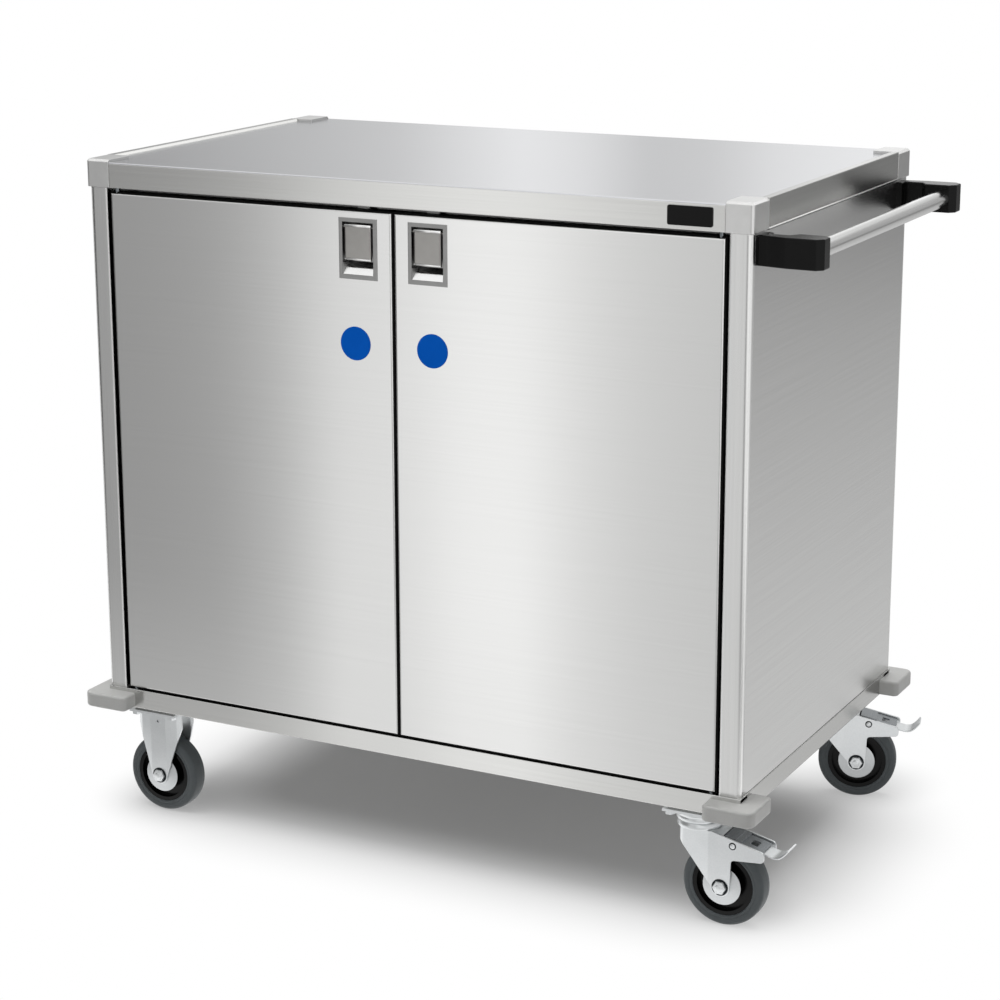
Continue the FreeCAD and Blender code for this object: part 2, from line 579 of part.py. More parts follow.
def make_door(side, flip):
    """One door with its seal, liner, bushes, dot and latch; drawn on the right, flipped for the left."""
    low_x, high_x = f"{side}_inner", "door_outer"
    latch_x = f"{side}_latch"
    wide, tall = (low_x, high_x), ("door_low", "door_high")
    skin = prism("XZ", "door_thickness", rectangle(low_x, high_x, *tall), at=("0", "door_back", "0"))
    soften(skin, "door_edge_radius", lambda edge, box: lies(edge, "Y", box.YMin))
    inside = sketch(skin, "XZ", rectangle(f"{low_x} + door_sheet", f"{high_x} - door_sheet",
                                          "door_low + door_sheet", "door_high - door_sheet"))
    pocket(skin, inside, "door_thickness - door_sheet", side="One side", reversed_way=True)
    half_tray = "opening_width/2 + tray_wall + tray_fit"
    tray_hole = sketch(skin, "XZ", rectangle(f"{latch_x} - ({half_tray})", f"{latch_x} + {half_tray}",
                                             "opening_top - opening_height - tray_wall - tray_fit",
                                             "opening_top + tray_wall + tray_fit"))
    pocket(skin, tray_hole, "4*door_thickness")
    seats = [rod("bush_radius", "bush_length", ("hinge_x", "hinge_y", z))
             for z in ("door_low", "door_high - bush_length")]
    play = "bolt_slot_play"
    bolt_x = (f"{latch_x} - bolt_width/2 - {play}", f"{latch_x} + bolt_width/2 + {play}")
    bolt_slot = span(bolt_x, (f"bolt_y - {play}/2", f"bolt_y + bolt_thickness + {play}"),
                     ("door_high - 2*door_sheet", "door_high + 2*seal_thickness"))
    node(f"{side}_door_skin", flip(cut(skin, *seats, bolt_slot)))
    node(f"{side}_door_liner", flip(span((f"{low_x} + door_sheet", f"{high_x} - door_sheet"),
                                         ("door_back - door_sheet", "door_back"),
                                         ("door_low + door_sheet", "door_high - door_sheet"))))
    bushes = [cut(rod("bush_radius", "bush_length", ("hinge_x", "hinge_y", z)),
                  rod("hinge_pin_radius + running_clearance", "bush_length", ("hinge_x", "hinge_y", z)))
              for z in ("door_low", "door_high - bush_length")]
    node(f"{side}_hinge_bushes", *[flip(bush) for bush in bushes])

    seal_y = ("front_y + seal_setback", "front_y + seal_setback + seal_depth")
    past_x = (f"{low_x} - seal_thickness", f"{high_x} + seal_thickness")
    clear = rod("hinge_pin_radius + bush_radius/4", "door_tall + 4*seal_thickness",
                ("hinge_x", "hinge_y", "door_low - 2*seal_thickness"))
    strips = [cut(span(past_x, seal_y, ("door_high", "door_high + seal_thickness")), clear, bolt_slot),
              cut(span(past_x, seal_y, ("door_low - seal_thickness", "door_low")), clear),
              span((past_x[0], low_x), seal_y, tall), span((high_x, past_x[1]), seal_y, tall)]
    node(f"{side}_door_seal", *[flip(strip) for strip in strips])
    dot = rod("dot_diameter/2", "dot_thickness",
              (f"{low_x} + dot_from_edge", "front_y - dot_thickness", "worktop_level - dot_below_top"), "y")
    node(f"{side}_colour_dot", flip(dot))
    make_latch(side, flip)


def make_latch(side, flip):
    """Stamped tray with a sloping floor, the paddle on its pin, and the bolt that its tail draws down."""
    latch_x = f"{side}_latch"
    # The tray is drawn with the middle of its opening, on the door's front, at its own origin.
    half, top = "opening_width/2", "opening_height/2"
    outer = [("0", f"-{top} - tray_wall"), ("tray_depth + tray_wall", f"tray_slope_rise - {top} - tray_wall"),
             ("tray_depth + tray_wall", f"{top} + tray_wall"), ("0", f"{top} + tray_wall")]
    inner = [("-2*plate_thickness", f"-{top}"), ("0", f"-{top}"), ("tray_depth", f"tray_slope_rise - {top}"),
             ("tray_depth", top), ("-2*plate_thickness", top)]
    middle_z = "opening_top - opening_height/2"
    tray = place(doc.addObject("PartDesign::Body", "tray"), (latch_x, "front_y", middle_z))
    plate_z = f"(latch_z - ({middle_z}))"
    plate = sketch(tray, "XZ", rectangle("-plate_width/2", "plate_width/2", f"{plate_z} - plate_height/2",
                                         f"{plate_z} + plate_height/2"))
    pad(tray, plate, "plate_thickness")
    soften(tray, "plate_edge_radius", lambda edge, box: lies(edge, "Y", box.YMin))
    pad(tray, sketch(tray, "YZ", outer), f"2*({half} + tray_wall)", "Symmetric")
    pocket(tray, sketch(tray, "YZ", inner), f"2*{half}")
    window = span((f"{latch_x} - window_width/2", f"{latch_x} + window_width/2"),
                  ("front_y + tray_depth - tray_wall", "front_y + tray_depth + 2*tray_wall"),
                  ("pivot_z - window_below", "pivot_z + window_above"))
    pin_end = f"{half} + tray_wall"
    bearing = rod("paddle_pin_radius + running_clearance", f"2*({pin_end})",
                  (f"{latch_x} - ({pin_end})", "pivot_y", "pivot_z"), "x")
    node(f"{side}_latch_tray", flip(cut(tray, window, bearing)))

    leaf_top = "pivot_z + pivot_below_paddle_top"
    leaf = prism("XZ", "paddle_thickness",
                 rectangle(f"{latch_x} - paddle_width/2", f"{latch_x} + paddle_width/2",
                           f"{leaf_top} - paddle_height", leaf_top),
                 at=("0", "front_y - plate_thickness + paddle_set_in + paddle_thickness", "0"))
    soften(leaf, "paddle_edge_radius", lambda edge, box: lies(edge, "Y", box.YMin))
    leaf_end = (f"{latch_x} - paddle_width/2", "pivot_y", "pivot_z")
    barrel = rod("barrel_radius", "paddle_width", leaf_end, "x")
    tail_x = (f"{latch_x} - tail_width/2", f"{latch_x} + tail_width/2")
    tail = span(tail_x, ("pivot_y", "pivot_y + tail_reach"),
                ("pivot_z - tail_half_height", "pivot_z + tail_half_height"))
    tip = rod("tail_half_height", "tail_width", (tail_x[0], "pivot_y + tail_reach", "pivot_z"), "x")
    bore = rod("paddle_pin_radius", "paddle_width", leaf_end, "x")
    pin = rod("paddle_pin_radius", f"2*({pin_end})",
              (f"{latch_x} - ({pin_end})", "pivot_y", "pivot_z"), "x")
    lever = cut(fuse(barrel, tail, tip), bore)
    node(f"{side}_latch_paddle", flip(cut(leaf, barrel)), flip(lever), flip(pin))

    bar = span((f"{latch_x} - bolt_width/2", f"{latch_x} + bolt_width/2"),
               ("bolt_y", "bolt_y + bolt_thickness"), ("pivot_z - bolt_below_pivot", "bolt_tip"))
    slot_half = "tail_half_height + bolt_slot_play"
    slot = span((f"{latch_x} - window_width/2", f"{latch_x} + window_width/2"),
                ("bolt_y - bolt_thickness", "bolt_y + 2*bolt_thickness"),
                (f"pivot_z - ({slot_half})", f"pivot_z + {slot_half}"))
    node(f"{side}_latch_bolt", flip(cut(bar, slot)))


def make_wheel_set(where, at, turn, axle_x, extras=()):
    """Axle bolt with thread guards, wheel centre and tyre of one caster."""
    axle = (axle_x, "0", "wheel_radius")
    bolt = fuse(rod("axle_radius", "2*fork_half_width", (axle_x, "-fork_half_width", "wheel_radius"), "y"),
                *[hexagon("axle_head_radius", "axle_head_height", (axle_x, y_low, "wheel_radius"), "y")
                  for y_low in ("-fork_half_width - axle_head_height", "fork_half_width")])
    face = "hub_width/2 + running_clearance"
    guard = turned([("axle_radius", face), ("guard_radius", face),
                    ("guard_radius", "hub_width/2 + guard_rim"),
                    ("guard_boss_radius", "cheek_inner"), ("axle_radius", "cheek_inner")], axle)
    node(f"{where}_axle_set", bolt, *both_sides(guard, "y"), *extras, at=at, turn=turn)

    bore, hub = "axle_radius + running_clearance", "hub_width/2"
    web, rim = "core_web_width/2", "core_rim_width/2"
    inner_rim = "core_radius - core_rim"
    half = [("hub_radius", hub), ("hub_radius", web), (inner_rim, web), (inner_rim, rim),
            ("core_radius", rim)]
    profile = [(bore, hub)] + half + [(r, f"-{w}") for r, w in reversed(half)] + [(bore, f"-{hub}")]
    node(f"{where}_wheel_core", turned(profile, axle), at=at, turn=turn)
    tyre = turned(rectangle("core_radius", "wheel_radius", "-tyre_width/2", "tyre_width/2"), axle)
    soften(tyre, "tyre_shoulder_radius", lambda edge, box: same(edge.BoundBox.XMax, box.XMax) and
           same(edge.BoundBox.YLength, 0))
    node(f"{where}_tyre", tyre, at=at, turn=turn)


def cheek_outline(axle_x, upper):
    """Side view of a fork: the given corners above, and a boss round the axle below."""
    axle = "wheel_radius"
    boss = [(f"{axle_x} + fork_boss", axle), (f"{axle_x} + fork_boss", f"{axle} - fork_boss"),
            (f"{axle_x} - fork_boss", f"{axle} - fork_boss"), (f"{axle_x} - fork_boss", axle)]
    outline = prism("XZ", "4*fork_half_width", upper + boss, side="Symmetric")
    soften(outline, "fork_boss - boss_flat",
           lambda edge, box: lies(edge, "Z", box.ZMin) and crosswise(edge, box))
    return outline


def make_rigid_caster(where, y):
    """One caster that keeps its direction: two bent cheeks straight down from the plate, axle underneath."""
    at = ("rigid_x", y, "0")
    top = "caster_plate_low"

    def plan(offset, past):
        """Half of the cheeks' plan: flat in the middle and bent in towards both ends."""
        side = [("rigid_flat_half", "fork_half_width"),
                ("rigid_bend_half", "fork_half_width - rigid_bend_in"),
                ("rigid_half_length", "fork_half_width - rigid_edge_in")]
        side = [(x, f"{w} - {offset}") for x, w in side]
        side.append((f"rigid_half_length + {past}", side[-1][1]))
        half = [(f"-({x})", w) for x, w in reversed(side)] + side
        return half + [(x, f"-({w})") for x, w in reversed(half)]
    shell = cut(prism("XY", top, plan("0", "fork_wall")),
                prism("XY", f"{top} - crown_thickness", plan("fork_wall", "2*fork_wall")))
    upper = [("-rigid_half_length", f"{top} - rigid_skirt"), ("-rigid_half_length", top),
             ("rigid_half_length", top), ("rigid_half_length", f"{top} - rigid_skirt")]
    axle_bore = rod("axle_radius", "4*fork_half_width", ("0", "-2*fork_half_width", "wheel_radius"), "y")
    small_hole = rod("rigid_hole_radius", "4*fork_half_width",
                     ("0", "-2*fork_half_width", f"{top} - rigid_hole_drop"), "y")
    node(f"{where}_fork", cut(common(shell, cheek_outline("0", upper)), axle_bore, small_hole), at=at)
    make_wheel_set(where, at, None, "0")


def make_swivel_caster(where, y):
    """One braked swivel caster, drawn with its kingpin at the origin and its wheel trailing towards +X."""
    at, turn = ("swivel_x", y, "0"), f"{where}_swivel"

    def channel(offset, high):
        """The fork's plan, drawn in by the offset: flat cheeks bent in at a crease, and a rounded nose."""
        half = [(f"{offset} - crown_reach", f"nose_half_width - {offset}"),
                ("fork_crease", f"fork_half_width - {offset}"), ("arm_end", f"fork_half_width - {offset}")]
        body = prism("XY", high, half + [(x, f"-({w})") for x, w in reversed(half)])

        def nose(edge, box):
            """Whether the edge stands at the front of the nose."""
            return lies(edge, "X", box.XMin) and same(edge.BoundBox.ZLength, box.ZLength)
        return soften(body, f"nose_radius - {offset}", nose)
    shell = cut(channel("0", "crown_top"), channel("fork_wall", "crown_low"))
    upper = [("-crown_reach", "crown_top - nose_drop"), ("-crown_reach", "crown_top"),
             ("crown_reach", "crown_top"), ("arm_end", "arm_tip_top"),
             ("arm_end", "arm_tip_top - arm_tip_height"),
             ("trail + arch_back", "wheel_radius + arch_above_axle")]
    outline = cheek_outline("trail", upper)
    soften(outline, "arm_tip_radius", lambda edge, box: lies(edge, "X", box.XMax) and crosswise(edge, box))
    arch_x = sheet.get("trail") + sheet.get("arch_back")
    soften(outline, "arch_radius", lambda edge, box: lies(edge, "X", arch_x) and crosswise(edge, box))
    bowl = rod("bowl_radius", "bowl_height", ("0", "0", "crown_top"))
    kingpin_bore = rod("kingpin_radius + running_clearance", "2*crown_thickness + bowl_height",
                       ("0", "0", "crown_low - crown_thickness/2"))
    axle_bore = rod("axle_radius", "4*fork_half_width", ("trail", "-2*fork_half_width", "wheel_radius"), "y")
    pin_start = ("pedal_x", "-fork_half_width - axle_head_height/4", "pedal_z")
    pin_length = "2*fork_half_width + axle_head_height/2"
    pin_bore = rod("pedal_pin_radius", pin_length, pin_start, "y")
    node(f"{where}_fork", cut(fuse(common(shell, outline), bowl), kingpin_bore, axle_bore, pin_bore),
         at=at, turn=turn)
    make_wheel_set(where, at, turn, "trail", [rod("pedal_pin_radius", pin_length, pin_start, "y")])
    make_pedal(where, at, turn)


def make_pedal(where, at, turn):
    """Brake pedal: a plate between the fork's arms on a cross pin, ending in a tongue that turns up."""
    slope = "(crown_top - arm_tip_top)/(arm_end - crown_reach)"

    def on_arm(x, lift):
        """A point over the arms' sloping top edge."""
        return (x, f"crown_top - ({x} - crown_reach)*{slope} + {lift}")
    start = f"crown_reach + crown_thickness/({slope}) + pedal_clearance"
    finish = "arm_end - 2*pedal_thickness"
    over, under = "pedal_clearance", "pedal_clearance - pedal_thickness"
    plate = prism("XZ", "2*pedal_half",
                  [on_arm(start, over), on_arm(finish, over), on_arm(finish, under), on_arm(start, under)],
                  side="Symmetric")
    web = prism("XZ", "2*pedal_half",
                [on_arm("pedal_x - pedal_barrel_radius", "0"), on_arm("pedal_x + pedal_barrel_radius", "0"),
                 ("pedal_x + pedal_barrel_radius", "pedal_z"), ("pedal_x - pedal_barrel_radius", "pedal_z")],
                side="Symmetric")
    pin_end = ("pedal_x", "-pedal_half", "pedal_z")
    barrel = rod("pedal_barrel_radius", "2*pedal_half", pin_end, "y")
    bend = "arm_end + pedal_thickness"
    low = "arm_tip_top - arm_tip_height/2"
    flat = f"{bend} + tongue_flat"
    slant = "pedal_thickness/sqrt(2)"
    tongue = prism("XZ", "tongue_width",
                   [on_arm(finish, over), (bend, low), (flat, low),
                    (f"{flat} + tongue_reach", f"{low} + tongue_rise"),
                    (f"{flat} + tongue_reach + {slant}", f"{low} + tongue_rise - {slant}"),
                    (f"{flat} + pedal_thickness/2", f"{low} - pedal_thickness"),
                    (f"{bend} - pedal_thickness/2", f"{low} - pedal_thickness"),
                    on_arm(finish, under)], side="Symmetric")
    bore = rod("pedal_pin_radius + running_clearance", "2*pedal_half", pin_end, "y")
    node(f"{where}_brake_pedal", cut(fuse(plate, web, barrel, tongue), bore), at=at, turn=turn)


def make_caster_fixings():
    """What holds the casters to the base: welded seats, top plates with race and kingpin, and bolts."""
    seats, plates, bolts = [], [], []
    half, side = "seat_width/2", "plate_side/2"
    y = "caster_y"
    for x in ("swivel_x", "rigid_x"):
        seats += both_sides(span((f"{x} - {half}", f"{x} + {half}"), (f"{y} - {half}", f"{y} + {half}"),
                                 ("seat_low", "base_bottom")), "y")
        top = span((f"{x} - {side}", f"{x} + {side}"), (f"{y} - {side}", f"{y} + {side}"),
                   ("caster_plate_low", "seat_low"))
        if x == "swivel_x":
            race = rod("race_radius", "race_height", (x, y, "caster_plate_low - race_height"))
            pin = rod("kingpin_radius", "caster_plate_low - crown_low + kingpin_nut_height",
                      (x, y, "crown_low - kingpin_nut_height"))
            nut = rod("kingpin_nut_radius", "kingpin_nut_height - race_gap",
                      (x, y, "crown_low - kingpin_nut_height"))
            top = fuse(top, race, pin, nut)
        plates += both_sides(top, "y")
        reach = "(plate_side/2 - caster_bolt_inset)"
        for x_sign in "-+":
            for y_sign in "-+":
                place_on_plate = (f"{x} {x_sign} {reach}", f"{y} {y_sign} {reach}",
                                  "caster_plate_low - caster_bolt_head")
                bolts += both_sides(hexagon("2*caster_bolt_radius", "caster_bolt_head", place_on_plate), "y")
    node("caster_seats", *seats)
    node("caster_plates", *plates)
    node("caster_bolts", *bolts)


make_top()
make_cabinet()
make_base()
make_handle()
make_door("left", to_the_left)
make_door("right", as_drawn)
make_caster_fixings()
make_rigid_caster("front_left", "-caster_y")
make_rigid_caster("rear_left", "caster_y")
make_swivel_caster("front_right", "-caster_y")
make_swivel_caster("rear_right", "caster_y")
doc.recompute()

for thing in doc.Objects:
    if "Invalid" in thing.State or "Error" in thing.State:
        raise RuntimeError(f"{thing.Label} ({thing.TypeId}) failed: {thing.State}")
for part in nodes:
    if part.Shape.isNull() or not part.Shape.isValid() or not part.Shape.Solids:
        raise RuntimeError(f"{part.Label} has no sound solid")

os.makedirs("parts", exist_ok=True)
for part in nodes:
    part.Shape.exportStep(f"parts/{part.Label}.step")
box = Part.makeCompound([part.Shape for part in nodes]).optimalBoundingBox(True, False)
print(f"{len(nodes)} nodes, x {box.XMin:.2f} to {box.XMax:.2f}, y {box.YMin:.2f} to {box.YMax:.2f}, "
      f"z {box.ZMin:.2f} to {box.ZMax:.2f}")
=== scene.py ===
"""Looks of a stainless sterile supply cart: brushed sheet steel, moulded bumpers, rubber tyred casters."""
import json
import math

import bmesh
import bpy
import numpy as np
from mathutils import Matrix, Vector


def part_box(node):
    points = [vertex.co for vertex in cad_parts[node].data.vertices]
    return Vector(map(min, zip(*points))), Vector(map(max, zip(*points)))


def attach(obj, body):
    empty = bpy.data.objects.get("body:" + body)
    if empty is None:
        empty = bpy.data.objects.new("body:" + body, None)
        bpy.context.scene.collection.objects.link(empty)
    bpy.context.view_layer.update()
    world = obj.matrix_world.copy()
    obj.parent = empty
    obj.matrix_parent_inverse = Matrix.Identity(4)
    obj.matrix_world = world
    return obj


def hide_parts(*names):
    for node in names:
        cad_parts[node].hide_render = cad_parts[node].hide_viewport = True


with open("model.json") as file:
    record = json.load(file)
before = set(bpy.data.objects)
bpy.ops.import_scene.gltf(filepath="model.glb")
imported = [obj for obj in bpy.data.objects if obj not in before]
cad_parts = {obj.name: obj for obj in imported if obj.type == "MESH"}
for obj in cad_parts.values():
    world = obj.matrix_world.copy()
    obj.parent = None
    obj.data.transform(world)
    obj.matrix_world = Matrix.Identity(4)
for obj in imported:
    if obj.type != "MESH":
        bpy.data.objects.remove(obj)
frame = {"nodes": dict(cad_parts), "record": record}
NODES = frame["nodes"]
JOINTS = {joint["name"]: joint for joint in frame["record"]["behaviour"]["joints"]}
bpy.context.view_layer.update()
MM = 0.001


def linear(code):
    """Linear colour of an sRGB hex value."""
    parts = [int(code[i:i + 2], 16) / 255 for i in (0, 2, 4)]
    return tuple(v / 12.92 if v <= 0.04045 else ((v + 0.055) / 1.055) ** 2.4 for v in parts) + (1.0,)


def grey(level):
    """A colour of one linear level."""
    return (level, level, level, 1.0)


def add(tree, kind, inputs=(), stops=(), **settings):
    """Adds a node with its settings; an input is given a constant or linked to a socket.

    Stops are the places and grey levels of a colour ramp, the first at 0 and the last at 1.
    """
    node = tree.nodes.new("ShaderNode" + kind)
    for key, value in settings.items():
        setattr(node, key, value)
    for place, _ in stops[1:-1]:
        node.color_ramp.elements.new(place)
    for number, (_, level) in enumerate(stops):
        node.color_ramp.elements[number].color = grey(level)
    for socket, value in dict(inputs).items():
        if isinstance(value, bpy.types.NodeSocket):
            tree.links.new(value, node.inputs[socket])
        else:
            node.inputs[socket].default_value = value
    return node


def new_material(name):
    """An empty node material with its output and a Principled shader."""
    material = bpy.data.materials.new(name)
    material.use_nodes = True
    tree = material.node_tree
    tree.nodes.clear()
    shader = add(tree, "BsdfPrincipled")
    add(tree, "OutputMaterial", {"Surface": shader.outputs["BSDF"]})
    return material, tree, shader


# The middle stretch of a noise, over which a finish runs from its dark to its light colour.
NOISE_LOW, NOISE_HIGH = 0.3, 0.7
# Rays that average the normal over a broken edge.
EDGE_RAYS = 6
# Depth of the brush lines and of an even texture, in millimetres.
BRUSH_DEPTH, TEXTURE_DEPTH = 0.1, 0.15
# The share of the brush lines' slopes that shows.
BRUSH_RELIEF = 0.012


def dress(tree, shader, colours, shade_by, dull_by, rough, swing, relief, edge):
    """Gives a shader its colour, roughness and relief from noise patterns, over edges broken to a radius.

    The colour runs from the second to the first over the middle of one pattern, and the roughness swings to
    both sides of its mean with another. The relief is a pattern, the share of its slopes that shows, and its
    depth in millimetres.
    """
    light, dark = colours
    pattern, strength, depth = relief
    stretch = {"Value": shade_by, "From Min": NOISE_LOW, "From Max": NOISE_HIGH}
    shade = add(tree, "MapRange", stretch).outputs["Result"]
    colour = add(tree, "MixRGB", {"Fac": shade, "Color1": linear(dark), "Color2": linear(light)})
    dull = add(tree, "MapRange", {"Value": dull_by, "To Min": rough - swing, "To Max": rough + swing})
    round_edge = add(tree, "Bevel", {"Radius": edge * MM}, samples=EDGE_RAYS).outputs["Normal"]
    raise_by = {"Height": pattern, "Strength": strength, "Distance": depth * MM, "Normal": round_edge}
    bump = add(tree, "Bump", raise_by)
    tree.links.new(colour.outputs["Color"], shader.inputs["Base Color"])
    tree.links.new(dull.outputs["Result"], shader.inputs["Roughness"])
    tree.links.new(bump.outputs["Normal"], shader.inputs["Normal"])


def brushed(name, light, dark, grain, rough, tangent="Z", turn=0.25, streak=0.008, smear=0.85, edge=1.2):
    """Stainless sheet, belt brushed along the axis named by grain, with its edges broken to a small radius.

    The brush leaves fine parallel lines that smear reflections across the lines; handling adds soft
    duller patches. Real lines are about 0.1 mm wide, drawn here 3 mm wide so that they show at all.
    """
    material, tree, shader = new_material(name)
    line, length, patch, patch_share = 3.0 * MM, 400 * MM, 140 * MM, 0.35
    scale = [1 / length if axis == grain else 1 / line for axis in "xyz"]
    place = add(tree, "TexCoord").outputs["Object"]
    drawn_out = add(tree, "Mapping", {"Vector": place, "Scale": scale}).outputs["Vector"]
    lines = add(tree, "TexNoise", {"Vector": drawn_out, "Scale": 1.0, "Detail": 2.0}).outputs["Fac"]
    patches = add(tree, "TexNoise", {"Vector": place, "Scale": 1 / patch, "Detail": 2.0}).outputs["Fac"]
    both = add(tree, "MixRGB", {"Fac": patch_share, "Color1": lines, "Color2": patches}).outputs["Color"]
    dress(tree, shader, (light, dark), lines, both, rough, streak, (lines, BRUSH_RELIEF, BRUSH_DEPTH), edge)
    along = add(tree, "Tangent", direction_type="RADIAL", axis=tangent)
    tree.links.new(along.outputs["Tangent"], shader.inputs["Tangent"])
    shader.inputs["Metallic"].default_value = 1.0
    shader.inputs["Anisotropic"].default_value = smear
    shader.inputs["Anisotropic Rotation"].default_value = turn
    return material


def mottled(name, light, dark, size, rough, swing, bump, metallic=0.0, specular=0.5, edge=0.6):
    """A finish with an even fine texture of the given size in millimetres: moulded, plated or coated.

    A second, much broader texture shifts colour and gloss a little from place to place.
    """
    material, tree, shader = new_material(name)
    broader, broad_share = 18, 0.5
    fine_scale, broad_scale = 1 / (size * MM), 1 / (broader * size * MM)
    place = add(tree, "TexCoord").outputs["Object"]
    fine = add(tree, "TexNoise", {"Vector": place, "Scale": fine_scale, "Detail": 4.0}).outputs["Fac"]
    broad = add(tree, "TexNoise", {"Vector": place, "Scale": broad_scale, "Detail": 2.0}).outputs["Fac"]
    both = add(tree, "MixRGB", {"Fac": broad_share, "Color1": fine, "Color2": broad}).outputs["Color"]
    dress(tree, shader, (light, dark), both, both, rough, swing, (fine, bump, TEXTURE_DEPTH), edge)
    shader.inputs["Metallic"].default_value = metallic
    shader.inputs["Specular IOR Level"].default_value = specular
    return material


# Door skins, finely brushed along the cart: a soft mirror that draws lights out into upright bands.
PANEL = brushed("brushed_stainless_panels", "d5d5d4", "d3d3d2", grain="x", rough=0.15, edge=1.5)
# Side and back panels, brushed more coarsely, so that reflections run together.
SIDE = brushed("brushed_stainless_sides", "d0d0cf", "cccccb", grain="y", rough=0.22)
# Corner posts, brushed upright, with the round edges of a folded profile.
POST = brushed("brushed_stainless_posts", "dadad9", "d5d5d4", grain="z", rough=0.17, turn=0.0, smear=0.4,
               edge=4.0)
# Worktop, brushed along the cart: a soft mirror, tinted a little blue as painted light from above.
TOP = brushed("brushed_stainless_worktop", "d2d3d6", "cecfd2", grain="x", rough=0.16, tangent="Y")
# Folded rails, brushed along their length, with round edges that catch the light.
RAIL = brushed("brushed_stainless_long_rails", "d0d0ce", "ccccca", grain="x", rough=0.20, edge=2.2)
# The cross rails' steel is darker than the long rails': painted shade on their side faces.
CROSS_SHADED = brushed("brushed_stainless_cross_rails_painted_shade", "bbbbb9", "b7b7b5", grain="y", rough=0.20, edge=2.2)
# Mill finish of the sheets inside: dull and uneven, with faint lines from the rolls.
INSIDE = brushed("mill_finish_stainless_inside", "c4c4c3", "b6b6b5", grain="x", rough=0.42, streak=0.05)
# Polished welded tube: bright, with faint lengthwise polishing lines.
TUBE = brushed("polished_tube", "dededd", "d6d6d5", grain="y", rough=0.20, tangent="Y", turn=0.0, streak=0.03)
# Cast zinc caps, tumbled and plated: pale metal with an even soft sheen.
CAPS = mottled("plated_cast_caps", "d8d8d7", "d0d0cf", size=0.8, rough=0.32, swing=0.04, bump=0.05,
               metallic=0.9, edge=1.2)
# Die cast latch frames, tumbled: a dull even grey metal.
LATCH = mottled("tumbled_cast_latch", "a0a09f", "929291", size=0.9, rough=0.34, swing=0.04, bump=0.05,
                metallic=1.0)
# Stamped steel paddles with baked lacquer, warm grey.
PADDLE = mottled("lacquered_steel_paddle", "a6a4a1", "9c9a97", size=0.7, rough=0.30, swing=0.04, bump=0.04,
                 metallic=0.8)
# Polished stamped stainless on the paddle's hems, the finger recess and the rims' beads: bright and smooth.
# Its near white colour, paler than steel, is partly painted highlight.
POLISH_AND_HIGHLIGHT = mottled("polished_steel_and_painted_highlight", "f0f0ef", "e8e8e7", size=0.8, rough=0.28, swing=0.03, bump=0.03,
                   metallic=1.0)
# Zinc plated pressed steel: bright, slightly blue, with faint crystals.
ZINC = mottled("zinc_plated_steel", "dadcdd", "ced1d2", size=2.5, rough=0.32, swing=0.05, bump=0.04,
               metallic=0.8)
# Zinc plated spring steel of the brakes: darker than the forks and half bright.
BRAKE = mottled("plated_brake_steel", "7a7e81", "6c7073", size=1.5, rough=0.26, swing=0.05, bump=0.05,
                metallic=1.0)
# Pressed thread guards beside the wheels: the forks' plating, darker and duller than on the forks.
GUARDS = mottled("duller_plated_guards", "c4c6c7", "b6b9ba", size=2.5, rough=0.42, swing=0.06, bump=0.05,
                 metallic=0.9)
# Spring washers under the axle nuts and the rivets' heads: dark rings, half dull.
WASHERS = mottled("dark_washer_rings", "303335", "222527", size=1.0, rough=0.40, swing=0.06, bump=0.05,
                  metallic=1.0)
# Injection moulded polyamide, black and half gloss with a faint mould grain.
BLACK = mottled("moulded_black_polyamide", "0c0c0c", "060606", size=1.0, rough=0.24, swing=0.06, bump=0.06,
                specular=0.15)
CORE = mottled("moulded_black_wheel_core", "080808", "030303", size=1.2, rough=0.26, swing=0.06, bump=0.06,
               specular=0.15)
# Moulded thermoplastic bumper, light grey, with a fine spark eroded mould texture.
BUMPER = mottled("moulded_grey_bumper", "bbbbb9", "b1b1af", size=0.9, rough=0.36, swing=0.05, bump=0.10)
# Elastic rubber tyre: dark grey, dull, with handling dust.
TYRE = mottled("elastic_rubber_tyre", "5c6163", "505557", size=1.2, rough=0.55, swing=0.08, bump=0.12,
               specular=0.3)
# Extruded door seal: dull black that hardly shines.
SEAL = mottled("extruded_black_seal", "080808", "040404", size=1.0, rough=0.6, swing=0.05, bump=0.05,
               specular=0.1)
# Printed adhesive film under a matt laminate: an even deep blue.
FILM = mottled("blue_laminated_film", "0460cc", "005ac2", size=1.5, rough=0.55, swing=0.03, bump=0.03,
               specular=0.05)

# The finish of a CAD node, by words in its name.
FINISHES = [
    (("colour_dot",), FILM),
    (("door_seal",), SEAL),
    (("hinge_bushes", "handle_bracket", "badge_plate"), BLACK),
    (("tyre",), TYRE),
    (("wheel_core",), CORE),
    (("brake_pedal", "hinge_pins"), BRAKE),
    (("corner_bumpers",), BUMPER),
    (("latch_paddle",), PADDLE),
    (("latch_tray",), LATCH),
    (("_fork", "axle_set", "caster_plates", "caster_bolts", "handle_bolts"), ZINC),
    (("handle_tube",), TUBE),
    (("top_corner_caps",), CAPS),
    (("worktop",), TOP),
    (("corner_posts",), POST),
    (("base_long", "fascia"), RAIL),
    (("base_short", "side_rims", "caster_seats"), CROSS_SHADED),
    (("side_panel", "back_panel"), SIDE),
    (("door_skin",), PANEL),
]


def finish_of(name):
    """The finish of a CAD node by what it is made of; the pieces inside the cabinet have a mill finish."""
    for words, material in FINISHES:
        if any(word in name for word in words):
            return material
    return INSIDE


for node_name, node_object in NODES.items():
    node_object.data.materials.clear()
    node_object.data.materials.append(finish_of(node_name))


def grid(points, close_u=False, close_v=False):
    """Quads over a grid of points (u, v, xyz); a closed direction joins its last line to its first."""
    u, v = points.shape[:2]
    rows, columns = np.arange(u if close_u else u - 1), np.arange(v if close_v else v - 1)
    i, j = np.meshgrid(rows, columns, indexing="ij")
    k, m = (i + 1) % u, (j + 1) % v
    faces = np.stack([i * v + j, k * v + j, k * v + m, i * v + m], -1).reshape(-1, 4)
    return points.reshape(-1, 3), faces.tolist()


